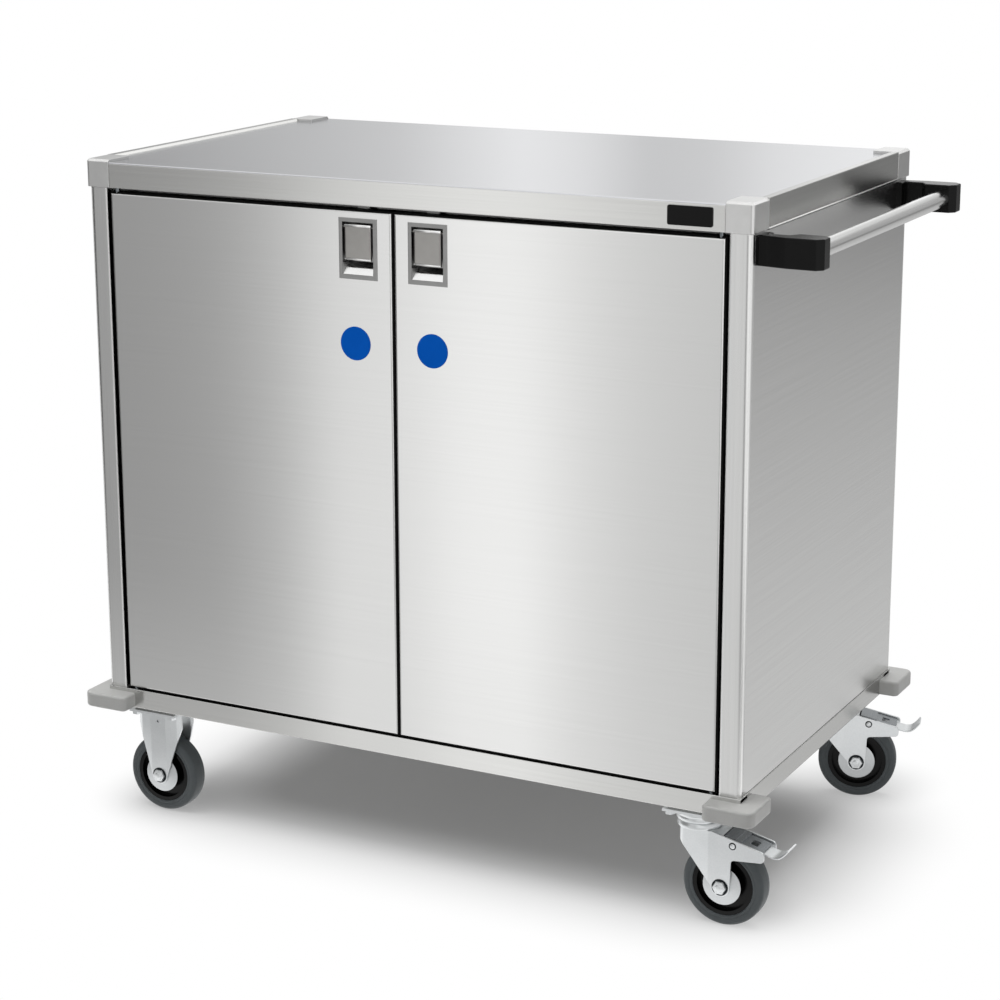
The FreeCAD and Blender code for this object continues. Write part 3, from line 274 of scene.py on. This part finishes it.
def turned(profile, count=96, axis="y", radius=None):
    """A closed (radius, along) profile carried round an axis: p = r cos t, r sin t, along.

    A radius function of the turn t scales the profile's radii, for hexagons.
    """
    profile = np.array(profile, float)
    angle = np.arange(count) * 2 * math.pi / count
    scale = np.ones(count) if radius is None else radius(angle)
    r = scale[:, None] * profile[None, :, 0]
    along = np.broadcast_to(profile[None, :, 1], r.shape)
    c, s = r * np.cos(angle)[:, None], r * np.sin(angle)[:, None]
    places = (c, along, s) if axis == "y" else (c, s, along)
    return grid(np.stack(places, -1), True, True)


def rolled(path, half_width, thickness):
    """A sheet strip: the path (x, z) carried across y, thickened to both sides along its normal.

    The section is a bar with broken edges; a list of half widths lets the strip widen along the path.
    """
    path = np.array(path, float)
    slope = np.gradient(path, axis=0)
    slope /= np.linalg.norm(slope, axis=1)[:, None]
    normal = np.stack([-slope[:, 1], slope[:, 0]], -1) * thickness / 2
    chamfer, waist = min(1.0, thickness / 3), 0.4
    broken = chamfer * np.array((0, 1, 1, 0, 0, 1, 1, 0))
    wide = np.broadcast_to(np.array(half_width, float), len(path))[:, None] - broken
    across = wide * np.array((-1, -1, 1, 1, 1, 1, -1, -1))
    level = np.array((waist, 1, 1, waist, -waist, -1, -1, -waist))
    edge = path[:, None] + level[:, None] * normal[:, None]
    return capped(np.stack([edge[..., 0], across, edge[..., 1]], -1))


def capped(rings):
    """A closed skin over rings of points, with a face over the first and the last ring."""
    points, faces = grid(rings, False, True)
    count, last = rings.shape[1], len(points) - rings.shape[1]
    return points, faces + [list(range(count))[::-1], list(range(last, last + count))]


def prism(outline, low, high):
    """An outline (x, y) carried straight up from one height to another."""
    outline = np.array(outline, float)
    return capped(np.stack([np.column_stack([outline, np.full(len(outline), z)]) for z in (low, high)]))


def flowing(points, count):
    """A smooth path through points, a Catmull-Rom spline.

    Each span is a cubic through its two ends, with half the step between an end's neighbours as its slope.
    """
    p = np.array(points, float)
    p = np.vstack([2 * p[0] - p[1], p, 2 * p[-1] - p[-2]])
    t = np.linspace(0, len(points) - 1, count)
    k = np.minimum(t.astype(int), len(points) - 2)
    f = (t - k)[:, None]
    a, b, c, d = p[k], p[k + 1], p[k + 2], p[k + 3]
    return 0.5 * (2 * b + (c - a) * f + (2 * a - 5 * b + 4 * c - d) * f**2 + (3 * b - a - 3 * c + d) * f**3)


def cushion(half_x, half_z, corner, steps, count=64):
    """A closed plate: a rounded rectangle drawn in by each step's inset and set at its depth (y)."""
    angle = (np.arange(count) + 0.5) * 2 * math.pi / count
    c, s = np.cos(angle), np.sin(angle)
    middle = np.stack([np.sign(c) * (half_x - corner), np.sign(s) * (half_z - corner)], -1)
    rim = middle + corner * np.stack([c, s], -1)
    steps = np.array(steps, float)
    half = np.array((half_x, half_z))
    ring = rim[None] * ((half - steps[:, :1]) / half)[:, None]
    depth = np.broadcast_to(steps[:, 1:], ring.shape[:2])
    return capped(np.stack([ring[..., 0], depth, ring[..., 1]], -1))


def placed(part, origin, turn=0.0):
    """A surface turned about the upright axis and carried to its place."""
    points, faces = part
    c, s = math.cos(turn), math.sin(turn)
    return points @ np.array([(c, s, 0), (-s, c, 0), (0, 0, 1)]) + np.array(origin, float), faces


def piece(name, parts, material, body, slot, *nodes, smooth=40):
    """Joins surfaces given in millimetres into one mesh piece that rides on a body.

    Edges are sharp where their faces meet at more than the smooth angle, in degrees.
    """
    starts = np.cumsum([0] + [len(points) for points, _ in parts])
    faces = [[i + start for i in face] for start, part in zip(starts.tolist(), parts) for face in part[1]]
    mesh = bpy.data.meshes.new(name)
    mesh.from_pydata((np.concatenate([points for points, _ in parts]) * MM).tolist(), [], faces)
    work = bmesh.new()
    work.from_mesh(mesh)
    bmesh.ops.remove_doubles(work, verts=work.verts, dist=1e-7)
    bmesh.ops.recalc_face_normals(work, faces=work.faces)
    work.to_mesh(mesh)
    work.free()
    mesh.polygons.foreach_set("use_smooth", [True] * len(mesh.polygons))
    mesh.set_sharp_from_angle(angle=math.radians(smooth))
    mesh.materials.append(material)
    made = bpy.data.objects.new(name, mesh)
    bpy.context.scene.collection.objects.link(made)
    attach(made, body)
    if nodes:
        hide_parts(*nodes)


def box_mm(node):
    """A node's lowest and highest corner, in millimetres."""
    return [np.array(corner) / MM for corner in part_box(node)]


def joint_mm(name):
    """A joint's place, in millimetres."""
    return np.array(JOINTS[name]["pos_m"]) / MM


# The tyre's radius and half its width are the frame's. All sizes of the pieces are in millimetres.
TYRE_LOW, TYRE_HIGH = box_mm("front_left_tyre")
_, TYRE_HALF, TYRE_RADIUS = (TYRE_HIGH - TYRE_LOW) / 2
# The tyre's bore, the radius of its shoulders and how far the tread falls beside its crown.
TYRE_BORE, SHOULDER, CROWN_DROP = 46.2, 7.0, 0.5
# The parting line of the mould round the tread.
PARTING_DEPTH, PARTING_HALF = 0.35, 0.5
# The beaded side, as radius over the bore and inset from the tyre's side.
TYRE_SIDE = [(5.4, 0.0), (4.9, 0.5), (4.2, 0.5), (3.7, 0.0), (1.4, 0.1), (0.4, 0.6), (0.0, 1.4)]
# Turned fittings, as radius and place along the axle. The fork's cheeks end 25 mm from the wheel's middle.
GUARD = [(6, 21.6), (12.5, 21.6), (14.5, 21.1), (26.0, 18.7), (28.0, 18.5), (29.0, 18.1), (29.0, 17.5),
         (27.5, 17.1), (6, 16.9)]
NUT = [(6.0, 25.05), (10.4, 25.05), (10.4, 29.0), (9.6, 30.2), (8.6, 30.6), (6.0, 30.6)]
WASHER = [(6.0, 25.02), (12.0, 25.02), (12.4, 25.3), (12.4, 25.7), (12.0, 26.0), (6.0, 26.0)]
RIVET_WASHER = [(3.0, 25.02), (5.2, 25.02), (5.5, 25.2), (5.5, 25.4), (5.2, 25.6), (3.0, 25.6)]
BOLT_END = [(0.01, 31.6), (3.5, 31.5), (5.2, 31.0), (5.8, 30.4)]
RIVET = [(0.01, 27.2), (1.6, 27.0), (3.0, 26.4), (3.9, 25.6), (4.0, 25.03), (2.95, 25.0)]
# The swivel's outer ring below the plate's underside, and the bowl above the fork's crown.
PLATE_LOW, CROWN_TOP = 170.0, 145.0
RING = [(32.9, -14.5), (33.4, -14.5), (34.2, -13.4), (34.4, -11.5), (34.2, -9.4), (33.5, -8.2), (33.5, -7.2),
        (34.3, -6.4), (34.6, -4.5), (34.3, -2.6), (33.6, -1.6), (33.6, -0.2), (32.9, -0.2)]
BOWL = [(29.9, 0.1), (32.4, 0.1), (33.0, 1.4), (32.6, 4.4), (31.4, 7.4), (30.5, 9.5), (29.9, 9.7)]
# The brake's plates follow the fork's arms, which slope down from the crown's end.
CROWN_REACH, ARM_SLOPE = 28.0, 19 / 79.5
PEDAL_HALF, TONGUE_HALF, SHEET = 20.5, 16.0, 2.4
# The barrel round the brake's pin, and the thickness and foot of the web that carries the plates on it.
BARREL_BORE, BARREL_RADIUS, WEB, WEB_FOOT = 3.1, 4.4, 7.0, 3.4
# The plate's steps, as start and end from the kingpin and height over the arms.
PLATE_STEPS = [(46.5, 72, -0.5), (70.5, 80, -3.2), (91, 103, -3.2)]
# The window between the last two steps: its length, the height of its sides and half their width.
WINDOW, WINDOW_LIFT, WINDOW_SIDE = (79.9, 91.1), -3.2, 6.5
# The tongue's foot, as place from the kingpin and height over the arms.
TONGUE_FOOT = [(96, -6.2), (103, -6.4)]
# Its end, which dips and turns up, as place from the kingpin and height over the floor.
TONGUE_END = [(110.5, 119.1), (119, 117.5), (127, 119.1), (134, 124.9), (140.0, 132.3)]


def mirrored(profile):
    """The same profile on the other side of the wheel."""
    return [(r, -a) for r, a in profile]


def raised(profile, height):
    """A profile's second values, counted from a height."""
    return [(r, a + height) for r, a in profile]


def tyre_profile():
    """The tyre's section: a crowned tread with a faint parting line, round shoulders and beaded sides.

    The crown is a parabola over the tread's width, and a shoulder is an arc from the tread to the side.
    """
    flat = TYRE_HALF - SHOULDER
    tread = np.linspace(0, flat, 8)
    crown = [(TYRE_RADIUS - CROWN_DROP * (a / flat) ** 2 - (0 if a else PARTING_DEPTH), a) for a in tread]
    crown.insert(1, (TYRE_RADIUS, PARTING_HALF))
    middle = TYRE_RADIUS - CROWN_DROP - SHOULDER
    shoulder = [(middle + SHOULDER * math.sin(t), flat + SHOULDER * math.cos(t))
                for t in np.radians(np.linspace(80, 0, 9))]
    side = [(TYRE_BORE + rise, TYRE_HALF - inset) for rise, inset in TYRE_SIDE]
    half = crown + shoulder + side
    return half + mirrored(half[1:])[::-1]


def hexagon(angle):
    """Radius of a unit hexagon's edge at each turn: cos 30 / cos of the turn from the nearest flat."""
    away = np.mod(angle, math.pi / 3) - math.pi / 6
    return math.cos(math.pi / 6) / np.cos(away)


def through(profile, count=32):
    """A pin through the fork: a profile joined to its mirror image and turned."""
    return turned(profile + mirrored(profile)[::-1], count)


def both_sides(profile, count, radius=None):
    """A turned fitting on each side of the wheel."""
    return [turned(half, count, radius=radius) for half in (profile, mirrored(profile))]


def over_arm(x, lift):
    """A point over the arms' sloping top edge, x from the kingpin."""
    return (x, CROWN_TOP - (x - CROWN_REACH) * ARM_SLOPE + lift)


def caster_pieces(where):
    """Tyre and axle fittings and, on the swivel casters, the swivel's races and the brake."""
    hub, axle = joint_mm(f"{where}_roll"), JOINTS[f"{where}_roll"]["axis"]
    yaw = math.atan2(-axle[0], axle[1])
    swivels = f"{where}_swivel" in JOINTS
    holder = f"{where}_caster" if swivels else "cabinet"
    tyre = placed(turned(tyre_profile(), count=144), hub, yaw)
    piece(f"{where}_moulded_tyre", [tyre], TYRE, f"{where}_wheel", "tyre_rubber", f"{where}_tyre", smooth=50)
    bolt = [through(BOLT_END), *both_sides(NUT, 72, hexagon)]
    fittings = [placed(part, hub, yaw) for part in bolt]
    washers = [placed(part, hub, yaw) for part in both_sides(WASHER, 48)]
    guards = [placed(part, hub, yaw) for part in both_sides(GUARD, 96)]
    if swivels:
        pin = joint_mm(f"{where}_brake")
        fittings.append(placed(through(RIVET), pin, yaw))
        washers += [placed(part, pin, yaw) for part in both_sides(RIVET_WASHER, 40)]
    piece(f"{where}_axle_fittings", fittings, ZINC, holder, "zinc_steel", f"{where}_axle_set", smooth=35)
    piece(f"{where}_washers", washers, WASHERS, holder, "zinc_steel", smooth=35)
    piece(f"{where}_thread_guards", guards, GUARDS, holder, "zinc_steel", smooth=35)
    if swivels:
        king = joint_mm(f"{where}_swivel") * (1, 1, 0)
        race_pieces(where, king)
        brake_pieces(where, king, yaw)


def race_pieces(where, king):
    """The pressed ring under the caster's plate and the bowl that turns in it."""
    ring = turned(raised(RING, PLATE_LOW), axis="z")
    bowl = turned(raised(BOWL, CROWN_TOP), axis="z")
    piece(f"{where}_swivel_ring", [placed(ring, king)], ZINC, "cabinet", "zinc_steel", smooth=60)
    piece(f"{where}_swivel_bowl", [placed(bowl, king)], ZINC, f"{where}_caster", "zinc_steel", smooth=60)


def brake_pieces(where, king, yaw):
    """The brake's stepped plate with its window and barrel, and the bright tongue that a foot presses."""
    pin = joint_mm(f"{where}_brake")
    reach, height = np.linalg.norm((pin - king)[:2]), pin[2]
    wall = [(BARREL_BORE, -PEDAL_HALF), (BARREL_RADIUS, -PEDAL_HALF), (BARREL_RADIUS, PEDAL_HALF),
            (BARREL_BORE, PEDAL_HALF)]
    barrel = placed(turned(wall, count=40), (reach, 0, height))
    web = rolled([(reach, height + WEB_FOOT), over_arm(reach, 0)], PEDAL_HALF, WEB)
    plates = [barrel, web]
    for start, end, lift in PLATE_STEPS:
        plates.append(rolled([over_arm(start, lift), over_arm(end, lift)], PEDAL_HALF, SHEET))
    beside = rolled([over_arm(x, WINDOW_LIFT) for x in WINDOW], WINDOW_SIDE, SHEET)
    offset = PEDAL_HALF - WINDOW_SIDE
    plates += [placed(beside, (0, across, 0)) for across in (-offset, offset)]
    piece(f"{where}_brake_plate", [placed(part, king, yaw) for part in plates], BRAKE, f"{where}_pedal",
          "pedal_steel", f"{where}_brake_pedal")
    path = flowing([over_arm(x, lift) for x, lift in TONGUE_FOOT] + TONGUE_END, count=40)
    tongue = placed(rolled(path, TONGUE_HALF, SHEET), king, yaw)
    piece(f"{where}_brake_tongue", [tongue], ZINC, f"{where}_pedal", "zinc_steel")


# The paddle's leaf and hems as half widths, and how much of the paddle's height the hems take.
LEAF_HALF, HEM_HALF, HEM_ABOVE, HEM_BELOW = 21.7, 21.9, 2.6, 1.6
# The leaf's corners, and its crowned face as inset from its edge and depth.
FACE_CORNER = 1.0
FACE_STEPS = [(2.6, -0.3), (1.5, -0.25), (0.7, 0.1), (0.2, 0.8), (0.0, 1.6), (0.0, 3.4)]
# The rolled hems, as depth and height from the paddle's upper and lower edge, and their sheet.
UPPER_HEM = [(-0.5, -3.2), (-0.35, -1.9), (0.35, -0.6), (1.5, 0.1), (2.8, 0.25)]
LOWER_HEM = [(-0.5, 2.4), (-0.3, 1.1), (0.6, 0.1), (2.2, -0.1)]
HEM_SHEET = 0.8
# The lip below the finger recess, as depth and height from the sill of the tray's opening.
LIP = [(0.5, 0.1), (3.6, 5.0), (6.2, 9.0), (8.4, 10.4), (11.4, 10.8)]
LIP_HALF, LIP_SHEET, OPENING_ABOVE_PLATE = 25.2, 0.6, 6.75
# The recess narrows inwards between two slanting cheeks.
CHEEK_LEAN, CHEEK_START, CHEEK_DEPTH, CHEEK_FOOT, CHEEK_HEIGHT = 0.42, 0.3, 11.4, 0.2, 17.0


def latch_pieces(side):
    """A paddle's lacquered face and bright rolled hems, and the lip and cheeks of the finger recess."""
    low, high = box_mm(f"{side}_latch_paddle")
    x, front, bottom, top = (low[0] + high[0]) / 2, low[1], low[2], high[2]
    half_z = (top - bottom - HEM_ABOVE - HEM_BELOW) / 2
    leaf = cushion(LEAF_HALF, half_z, FACE_CORNER, FACE_STEPS)
    face = placed(leaf, (x, front, bottom + HEM_BELOW + half_z))
    piece(f"{side}_paddle_face", [face], PADDLE, f"{side}_paddle", "paddle_steel", smooth=60)
    across_door = math.pi / 2
    paths = flowing(raised(UPPER_HEM, top), count=16), flowing(raised(LOWER_HEM, bottom), count=12)
    hems = [placed(rolled(path, HEM_HALF, HEM_SHEET), (x, front, 0), across_door) for path in paths]
    piece(f"{side}_paddle_hems", hems, POLISH_AND_HIGHLIGHT, f"{side}_paddle", "paddle_steel", smooth=60)
    plate, _ = box_mm(f"{side}_latch_tray")
    sill = np.array((x, plate[1], plate[2] + OPENING_ABOVE_PLATE))
    path = flowing(LIP, count=20)
    lip = rolled(path, LIP_HALF - CHEEK_LEAN * path[:, 0], LIP_SHEET)
    piece(f"{side}_finger_lip", [placed(lip, sill, across_door)], POLISH_AND_HIGHLIGHT, f"{side}_door", "satin_steel")
    cheeks = []
    for sign in (-1, 1):
        outer, inner = sign * LIP_HALF, sign * (LIP_HALF - CHEEK_LEAN * CHEEK_DEPTH)
        outline = [(outer, CHEEK_START), (inner, CHEEK_DEPTH), (outer, CHEEK_DEPTH)]
        cheeks.append(placed(prism(outline, CHEEK_FOOT, CHEEK_HEIGHT), sill))
    piece(f"{side}_finger_cheeks", cheeks, LATCH, f"{side}_door", "satin_steel")


# The bead on the side rims' lower edges: its radius and its sheet.
BEAD, BEAD_SHEET = 0.8, 0.5
# The seam under the rim is painted shade: a dark strip on the side panel, drawn as sealant.
# The strip under it: its thickness, and its foot and top as places off the side panel and below the rim.
SEAM_SHADE_THICK = 0.6
SEAM_SHADE_LINE = [(0.35, 1.8), (0.5, 0.1)]


def rim_pieces():
    """A half round bead on the lower edge of each side rim, over a dark strip of painted seam shade on the
    side panel.
    """
    low, high = box_mm("side_rims")
    middle, half = (low[1] + high[1]) / 2, (high[1] - low[1]) / 2
    turn = np.radians(np.linspace(90, -90, 13))
    for end, (side, out) in enumerate((("left", -1), ("right", 1))):
        rim_x, panel_x = (low, high)[end][0], box_mm(f"{side}_side_panel")[end][0]
        arc = [(rim_x + out * BEAD * math.cos(t), low[2] + BEAD + BEAD * math.sin(t)) for t in turn]
        bead = placed(rolled(arc, half, BEAD_SHEET), (0, middle, 0))
        piece(f"{side}_rim_bead", [bead], POLISH_AND_HIGHLIGHT, "cabinet", "satin_steel", smooth=60)
        # A dark strip on the side panel: painted shade in the seam under the rim.
        line = [(panel_x + out * off, low[2] - below) for off, below in SEAM_SHADE_LINE]
        seam_shade = placed(rolled(line, half, SEAM_SHADE_THICK), (0, middle, 0))
        piece(f"{side}_rim_seam_shade", [seam_shade], SEAL, "cabinet", "seal_rubber")


rim_pieces()
for corner_name in ("front_left", "front_right", "rear_left", "rear_right"):
    caster_pieces(corner_name)
for door_side in ("left", "right"):
    latch_pieces(door_side)

# The camera's place in metres, with x counted from the cabinet's middle, and its angles in degrees.
CABINET_X = sum(corner[0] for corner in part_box("worktop")) / 2
CAMERA = np.array((CABINET_X + 1.76576, -3.44309, 1.53731))
AZIMUTH, ELEVATION, ROLL = (math.radians(v) for v in (28.35, 14.09, -0.41))
# Its focal length and the middle of its picture in pixels of the frame, and its sensor in millimetres.
FRAME, FOCAL, PRINCIPAL, SENSOR = 1000, 2541.15, (450.14, 460.8), 36.0
# The lamps: name, place and the point aimed at in metres, size in metres, and power in watts.
LAMPS = [("overhead", (0.3, 0.7, 3.2), (0, 0, 0), (2.2, 1.8), 60),
         ("left_high", (-0.7, -0.7, 3.4), (0, 0, 0.3), (2.0, 2.0), 75)]
# The even light of the dome; the camera sees it white.
DOME = 0.38
# How bright the studio is in each direction round the cart, as reflections see it: share of a full turn from
# -X over -Y, and brightness. At the left there is a dim wall with a dark corner, at the front left a bright
# window, then a dark gap and a broad bright screen, and behind the cart two narrow screens.
GLOW = [(0.0, 0.36), (0.125, 0.06), (0.145, 0.42), (0.1555, 0.48), (0.1595, 0.60), (0.1615, 0.86),
        (0.1635, 1.08), (0.168, 1.08), (0.171, 1.25), (0.1745, 1.42), (0.178, 1.18), (0.181, 0.98),
        (0.185, 0.88), (0.192, 0.80), (0.205, 0.78), (0.235, 0.30), (0.275, 1.3), (0.35, 1.2), (0.66, 0.50),
        (0.72, 0.50), (0.795, 1.20), (0.808, 1.00), (0.812, 0.80), (0.8155, 0.66), (0.819, 0.86),
        (0.823, 1.08), (0.8265, 1.06), (0.830, 0.80), (0.837, 0.66), (0.850, 0.42), (0.90, 0.42), (1.0, 0.36)]
# The walls run into the ceiling, which is a little darker straight above the cart: the heights of a direction
# between which each sets in, and its level.
CEILING_SPAN, CEILING = (0.35, 0.80), 1.35
ZENITH_SPAN, ZENITH = (0.60, 0.80), 1.2
# A bright screen high behind the cart lights the slopes that lean to the right: its direction, the cosines
# between which its edge fades, and its level.
SCREEN, SCREEN_EDGE, SCREEN_LEVEL = (0.243, 0.80, 0.548), (0.955, 0.99), 1.9
# Half the floor's side in metres.
FLOOR_HALF = 30.0
# How bright the floor behind the cart is in reflections: share of FAR metres, and brightness. Within REAR_MIX
# metres of the cart's middle it takes over from the floor in front.
FAR, REAR_MIX = 8.0, 0.25
BEHIND = [(0.0, 0.80), (0.10, 0.78), (0.25, 0.68), (0.38, 0.60), (0.58, 0.54), (0.72, 0.36), (0.85, 0.27),
          (1.0, 0.25)]
# Painted light in reflections: towards the cart the floor in front grows paler, between two places along y,
# by a share, towards a level.
PALER = [((-1.5, -0.75), 0.3, 1.0), ((-0.50, -0.36), 0.8, 1.6)]
# Painted shadow in reflections, under the cart: half the dark block's sides, its soft edge and its level.
REFLECTED_SHADOW, REFLECTED_SHADOW_EDGE, REFLECTED_SHADOW_LEVEL = (0.10, 0.10, 0.0), 0.15, 0.15
# The cart's shadow shows on a block of the floor: half its sides, and how far it is shifted along x.
SHADOW, SHADOW_X = (0.34, 0.10, 0.0), 0.015
# Round it the floor fades to white paper: from where to where, in metres, and the white over the shadow.
FADE, HAZE = (0.04, 0.36), 0.02
# Round a spot BACK metres behind a wheel the floor's shade shows more: how far, and the white that stays.
CONTACT, BACK = {"front_left": (0.18, 0.3), "front_right": (0.11, 0.5), "rear_right": (0.14, 0.5)}, 0.06


def towards(tree, colour, value, span, level, share=1.0):
    """Mixes a colour towards a grey level while a value crosses a span, by a share at its end."""
    near = add(tree, "MapRange", {"Value": value, "From Min": span[0], "From Max": span[1], "To Max": share})
    mix = {"Fac": near.outputs["Result"], "Color1": colour, "Color2": grey(level)}
    return add(tree, "MixRGB", mix).outputs["Color"]


def glow_round(tree, vector):
    """The studio's brightness in the direction in which a vector points round the upright axis."""
    turn = add(tree, "TexGradient", {"Vector": vector}, gradient_type="RADIAL").outputs["Fac"]
    return add(tree, "ValToRGB", {"Fac": turn}, GLOW).outputs["Color"]


def reach_past(tree, place, block):
    """How far a place lies outside a block round the origin: the length of max(|place| - block, 0)."""
    size = add(tree, "VectorMath", {0: place}, operation="ABSOLUTE").outputs[0]
    past = add(tree, "VectorMath", {0: size, 1: block}, operation="SUBTRACT").outputs[0]
    out = add(tree, "VectorMath", {0: past, 1: (0, 0, 0)}, operation="MAXIMUM").outputs[0]
    return add(tree, "VectorMath", {0: out}, operation="LENGTH").outputs["Value"]


def studio_on_floor(tree, place):
    """What glossy rays see of the floor: the studio's bands in front, a falling brightness behind the cart.

    The bands turn about a fixed point, the camera's image in the doors, which keeps them upright there.
    """
    door_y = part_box("right_door_skin")[0][1]
    image = (CAMERA[0], 2 * door_y - CAMERA[1], 0)
    away = add(tree, "VectorMath", {0: place, 1: image}, operation="SUBTRACT").outputs[0]
    y = add(tree, "SeparateXYZ", {"Vector": place}).outputs["Y"]
    bands = glow_round(tree, away)
    # Painted light: the floor's reflected glow grows paler towards the cart.
    for span, share, level in PALER:
        bands = towards(tree, bands, y, span, level, share)
    far = add(tree, "Math", {0: y, 1: FAR}, operation="DIVIDE").outputs[0]
    behind = add(tree, "ValToRGB", {"Fac": far}, BEHIND).outputs["Color"]
    rear = add(tree, "MapRange", {"Value": y, "From Min": -REAR_MIX, "From Max": REAR_MIX}).outputs["Result"]
    colour = add(tree, "MixRGB", {"Fac": rear, "Color1": bands, "Color2": behind}).outputs["Color"]
    # A painted shadow darkens the floor's reflected glow under the cart.
    reach = reach_past(tree, place, REFLECTED_SHADOW)
    reflected_shadow = add(tree, "MapRange", {"Value": reach, "From Max": REFLECTED_SHADOW_EDGE, "To Min": REFLECTED_SHADOW_LEVEL})
    return add(tree, "Emission", {"Color": colour, "Strength": reflected_shadow.outputs["Result"]}).outputs[0]


def paper_share(tree, place):
    """How white the floor is: hardly in the cart's shadow, wholly further out, and less behind the wheels."""
    moved = add(tree, "VectorMath", {0: place, 1: (SHADOW_X, 0, 0)}, operation="SUBTRACT").outputs[0]
    reach = reach_past(tree, moved, SHADOW)
    fade = add(tree, "MapRange", {"Value": reach, "From Min": FADE[0], "From Max": FADE[1], "To Min": HAZE},
               interpolation_type="SMOOTHSTEP").outputs["Result"]
    for corner, (far, white) in CONTACT.items():
        low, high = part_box(f"{corner}_tyre")
        spot = ((low[0] + high[0]) / 2, (low[1] + high[1]) / 2 + BACK, 0)
        reach = add(tree, "VectorMath", {0: place, 1: spot}, operation="DISTANCE").outputs["Value"]
        clear = add(tree, "MapRange", {"Value": reach, "From Max": far, "To Min": white},
                    interpolation_type="SMOOTHSTEP").outputs["Result"]
        fade = add(tree, "Math", {0: fade, 1: clear}, operation="MULTIPLY").outputs[0]
    return fade


def lay_floor(scene):
    """A painted floor that shows glossy rays the studio and fades to white paper round the cart's shadow."""
    mesh = bpy.data.meshes.new("floor")
    corners = [(x * FLOOR_HALF, y * FLOOR_HALF, 0) for x, y in ((-1, -1), (1, -1), (1, 1), (-1, 1))]
    mesh.from_pydata(corners, [], [(0, 1, 2, 3)])
    floor = bpy.data.objects.new("floor", mesh)
    scene.collection.objects.link(floor)
    # Matt floor paint: pale grey, without gloss of its own.
    material, tree, shader = new_material("painted_studio_floor")
    shader.inputs["Base Color"].default_value = linear("d2d2d2")
    shader.inputs["Roughness"].default_value = 0.9
    shader.inputs["Specular IOR Level"].default_value = 0.0
    ray = add(tree, "LightPath").outputs
    place = add(tree, "TexCoord").outputs["Object"]
    paper = add(tree, "Emission", {"Color": grey(1.0)}).outputs[0]
    fade = paper_share(tree, place)
    seen = add(tree, "Math", {0: fade, 1: ray["Is Camera Ray"]}, operation="MULTIPLY").outputs[0]
    ground = add(tree, "MixShader", {0: seen, 1: shader.outputs[0], 2: paper}).outputs[0]
    shine = studio_on_floor(tree, place)
    whole = add(tree, "MixShader", {0: ray["Is Glossy Ray"], 1: ground, 2: shine}).outputs[0]
    output = next(node for node in tree.nodes if node.type == "OUTPUT_MATERIAL")
    tree.links.new(whole, output.inputs["Surface"])
    mesh.materials.append(material)


def light_world(scene):
    """A white backdrop and an even dome; glossy rays see the studio's walls, ceiling and high screen."""
    world = bpy.data.worlds.new("studio")
    scene.world = world
    world.use_nodes = True
    tree = world.node_tree
    tree.nodes.clear()
    ray = add(tree, "LightPath").outputs
    level = add(tree, "MapRange", {"Value": ray["Is Camera Ray"], "To Min": DOME, "To Max": 1.0})
    dome = add(tree, "Background", {"Color": grey(1.0), "Strength": level.outputs["Result"]})
    direction = add(tree, "TexCoord").outputs["Generated"]
    height = add(tree, "SeparateXYZ", {"Vector": direction}).outputs["Z"]
    facing = add(tree, "VectorMath", {0: direction, 1: SCREEN}, operation="DOT_PRODUCT").outputs["Value"]
    lit = towards(tree, glow_round(tree, direction), height, CEILING_SPAN, CEILING)
    lit = towards(tree, lit, height, ZENITH_SPAN, ZENITH)
    lit = towards(tree, lit, facing, SCREEN_EDGE, SCREEN_LEVEL)
    walls = add(tree, "Background", {"Color": lit})
    sky = add(tree, "MixShader", {0: ray["Is Glossy Ray"], 1: dome.outputs[0], 2: walls.outputs[0]})
    add(tree, "OutputWorld", {"Surface": sky.outputs[0]})


def looking(right, back, place):
    """A matrix for something at a place whose own x points right and whose own z points back."""
    turn = np.eye(4)
    turn[:3, 0], turn[:3, 1], turn[:3, 2], turn[:3, 3] = right, np.cross(back, right), back, place
    return Matrix(turn.tolist())


def hang_lamp(scene, name, place, aim, size, power):
    """A rectangular lamp at a place, aimed at a point."""
    data = bpy.data.lights.new(name, "AREA")
    data.shape, data.size, data.size_y, data.energy = "RECTANGLE", size[0], size[1], power
    lamp = bpy.data.objects.new(name, data)
    # The studio's walls and ceiling stand for the lamps in the steel, so their own images are left off it.
    lamp.visible_glossy = False
    back = np.array(place, float) - np.array(aim, float)
    back /= np.linalg.norm(back)
    right = np.cross((0, 1, 0), back)
    lamp.matrix_world = looking(right / np.linalg.norm(right), back, place)
    scene.collection.objects.link(lamp)


def set_camera(scene):
    """The camera at the photograph's viewing angle."""
    data = bpy.data.cameras.new("camera")
    data.sensor_width = SENSOR
    data.lens = FOCAL * SENSOR / FRAME
    data.shift_x, data.shift_y = 0.5 - PRINCIPAL[0] / FRAME, PRINCIPAL[1] / FRAME - 0.5
    level = math.cos(ELEVATION)
    back = np.array((math.sin(AZIMUTH) * level, -math.cos(AZIMUTH) * level, math.sin(ELEVATION)))
    right = np.array((math.cos(AZIMUTH), math.sin(AZIMUTH), 0.0))
    right = math.cos(ROLL) * right + math.sin(ROLL) * np.cross(back, right)
    camera = bpy.data.objects.new("camera", data)
    camera.matrix_world = looking(right, back, CAMERA)
    scene.collection.objects.link(camera)
    scene.camera = camera


def studio():
    """Floor, world, lamps and camera."""
    scene = bpy.context.scene
    scene.view_settings.view_transform = "Standard"
    lay_floor(scene)
    light_world(scene)
    for lamp in LAMPS:
        hang_lamp(scene, *lamp)
    set_camera(scene)


studio()
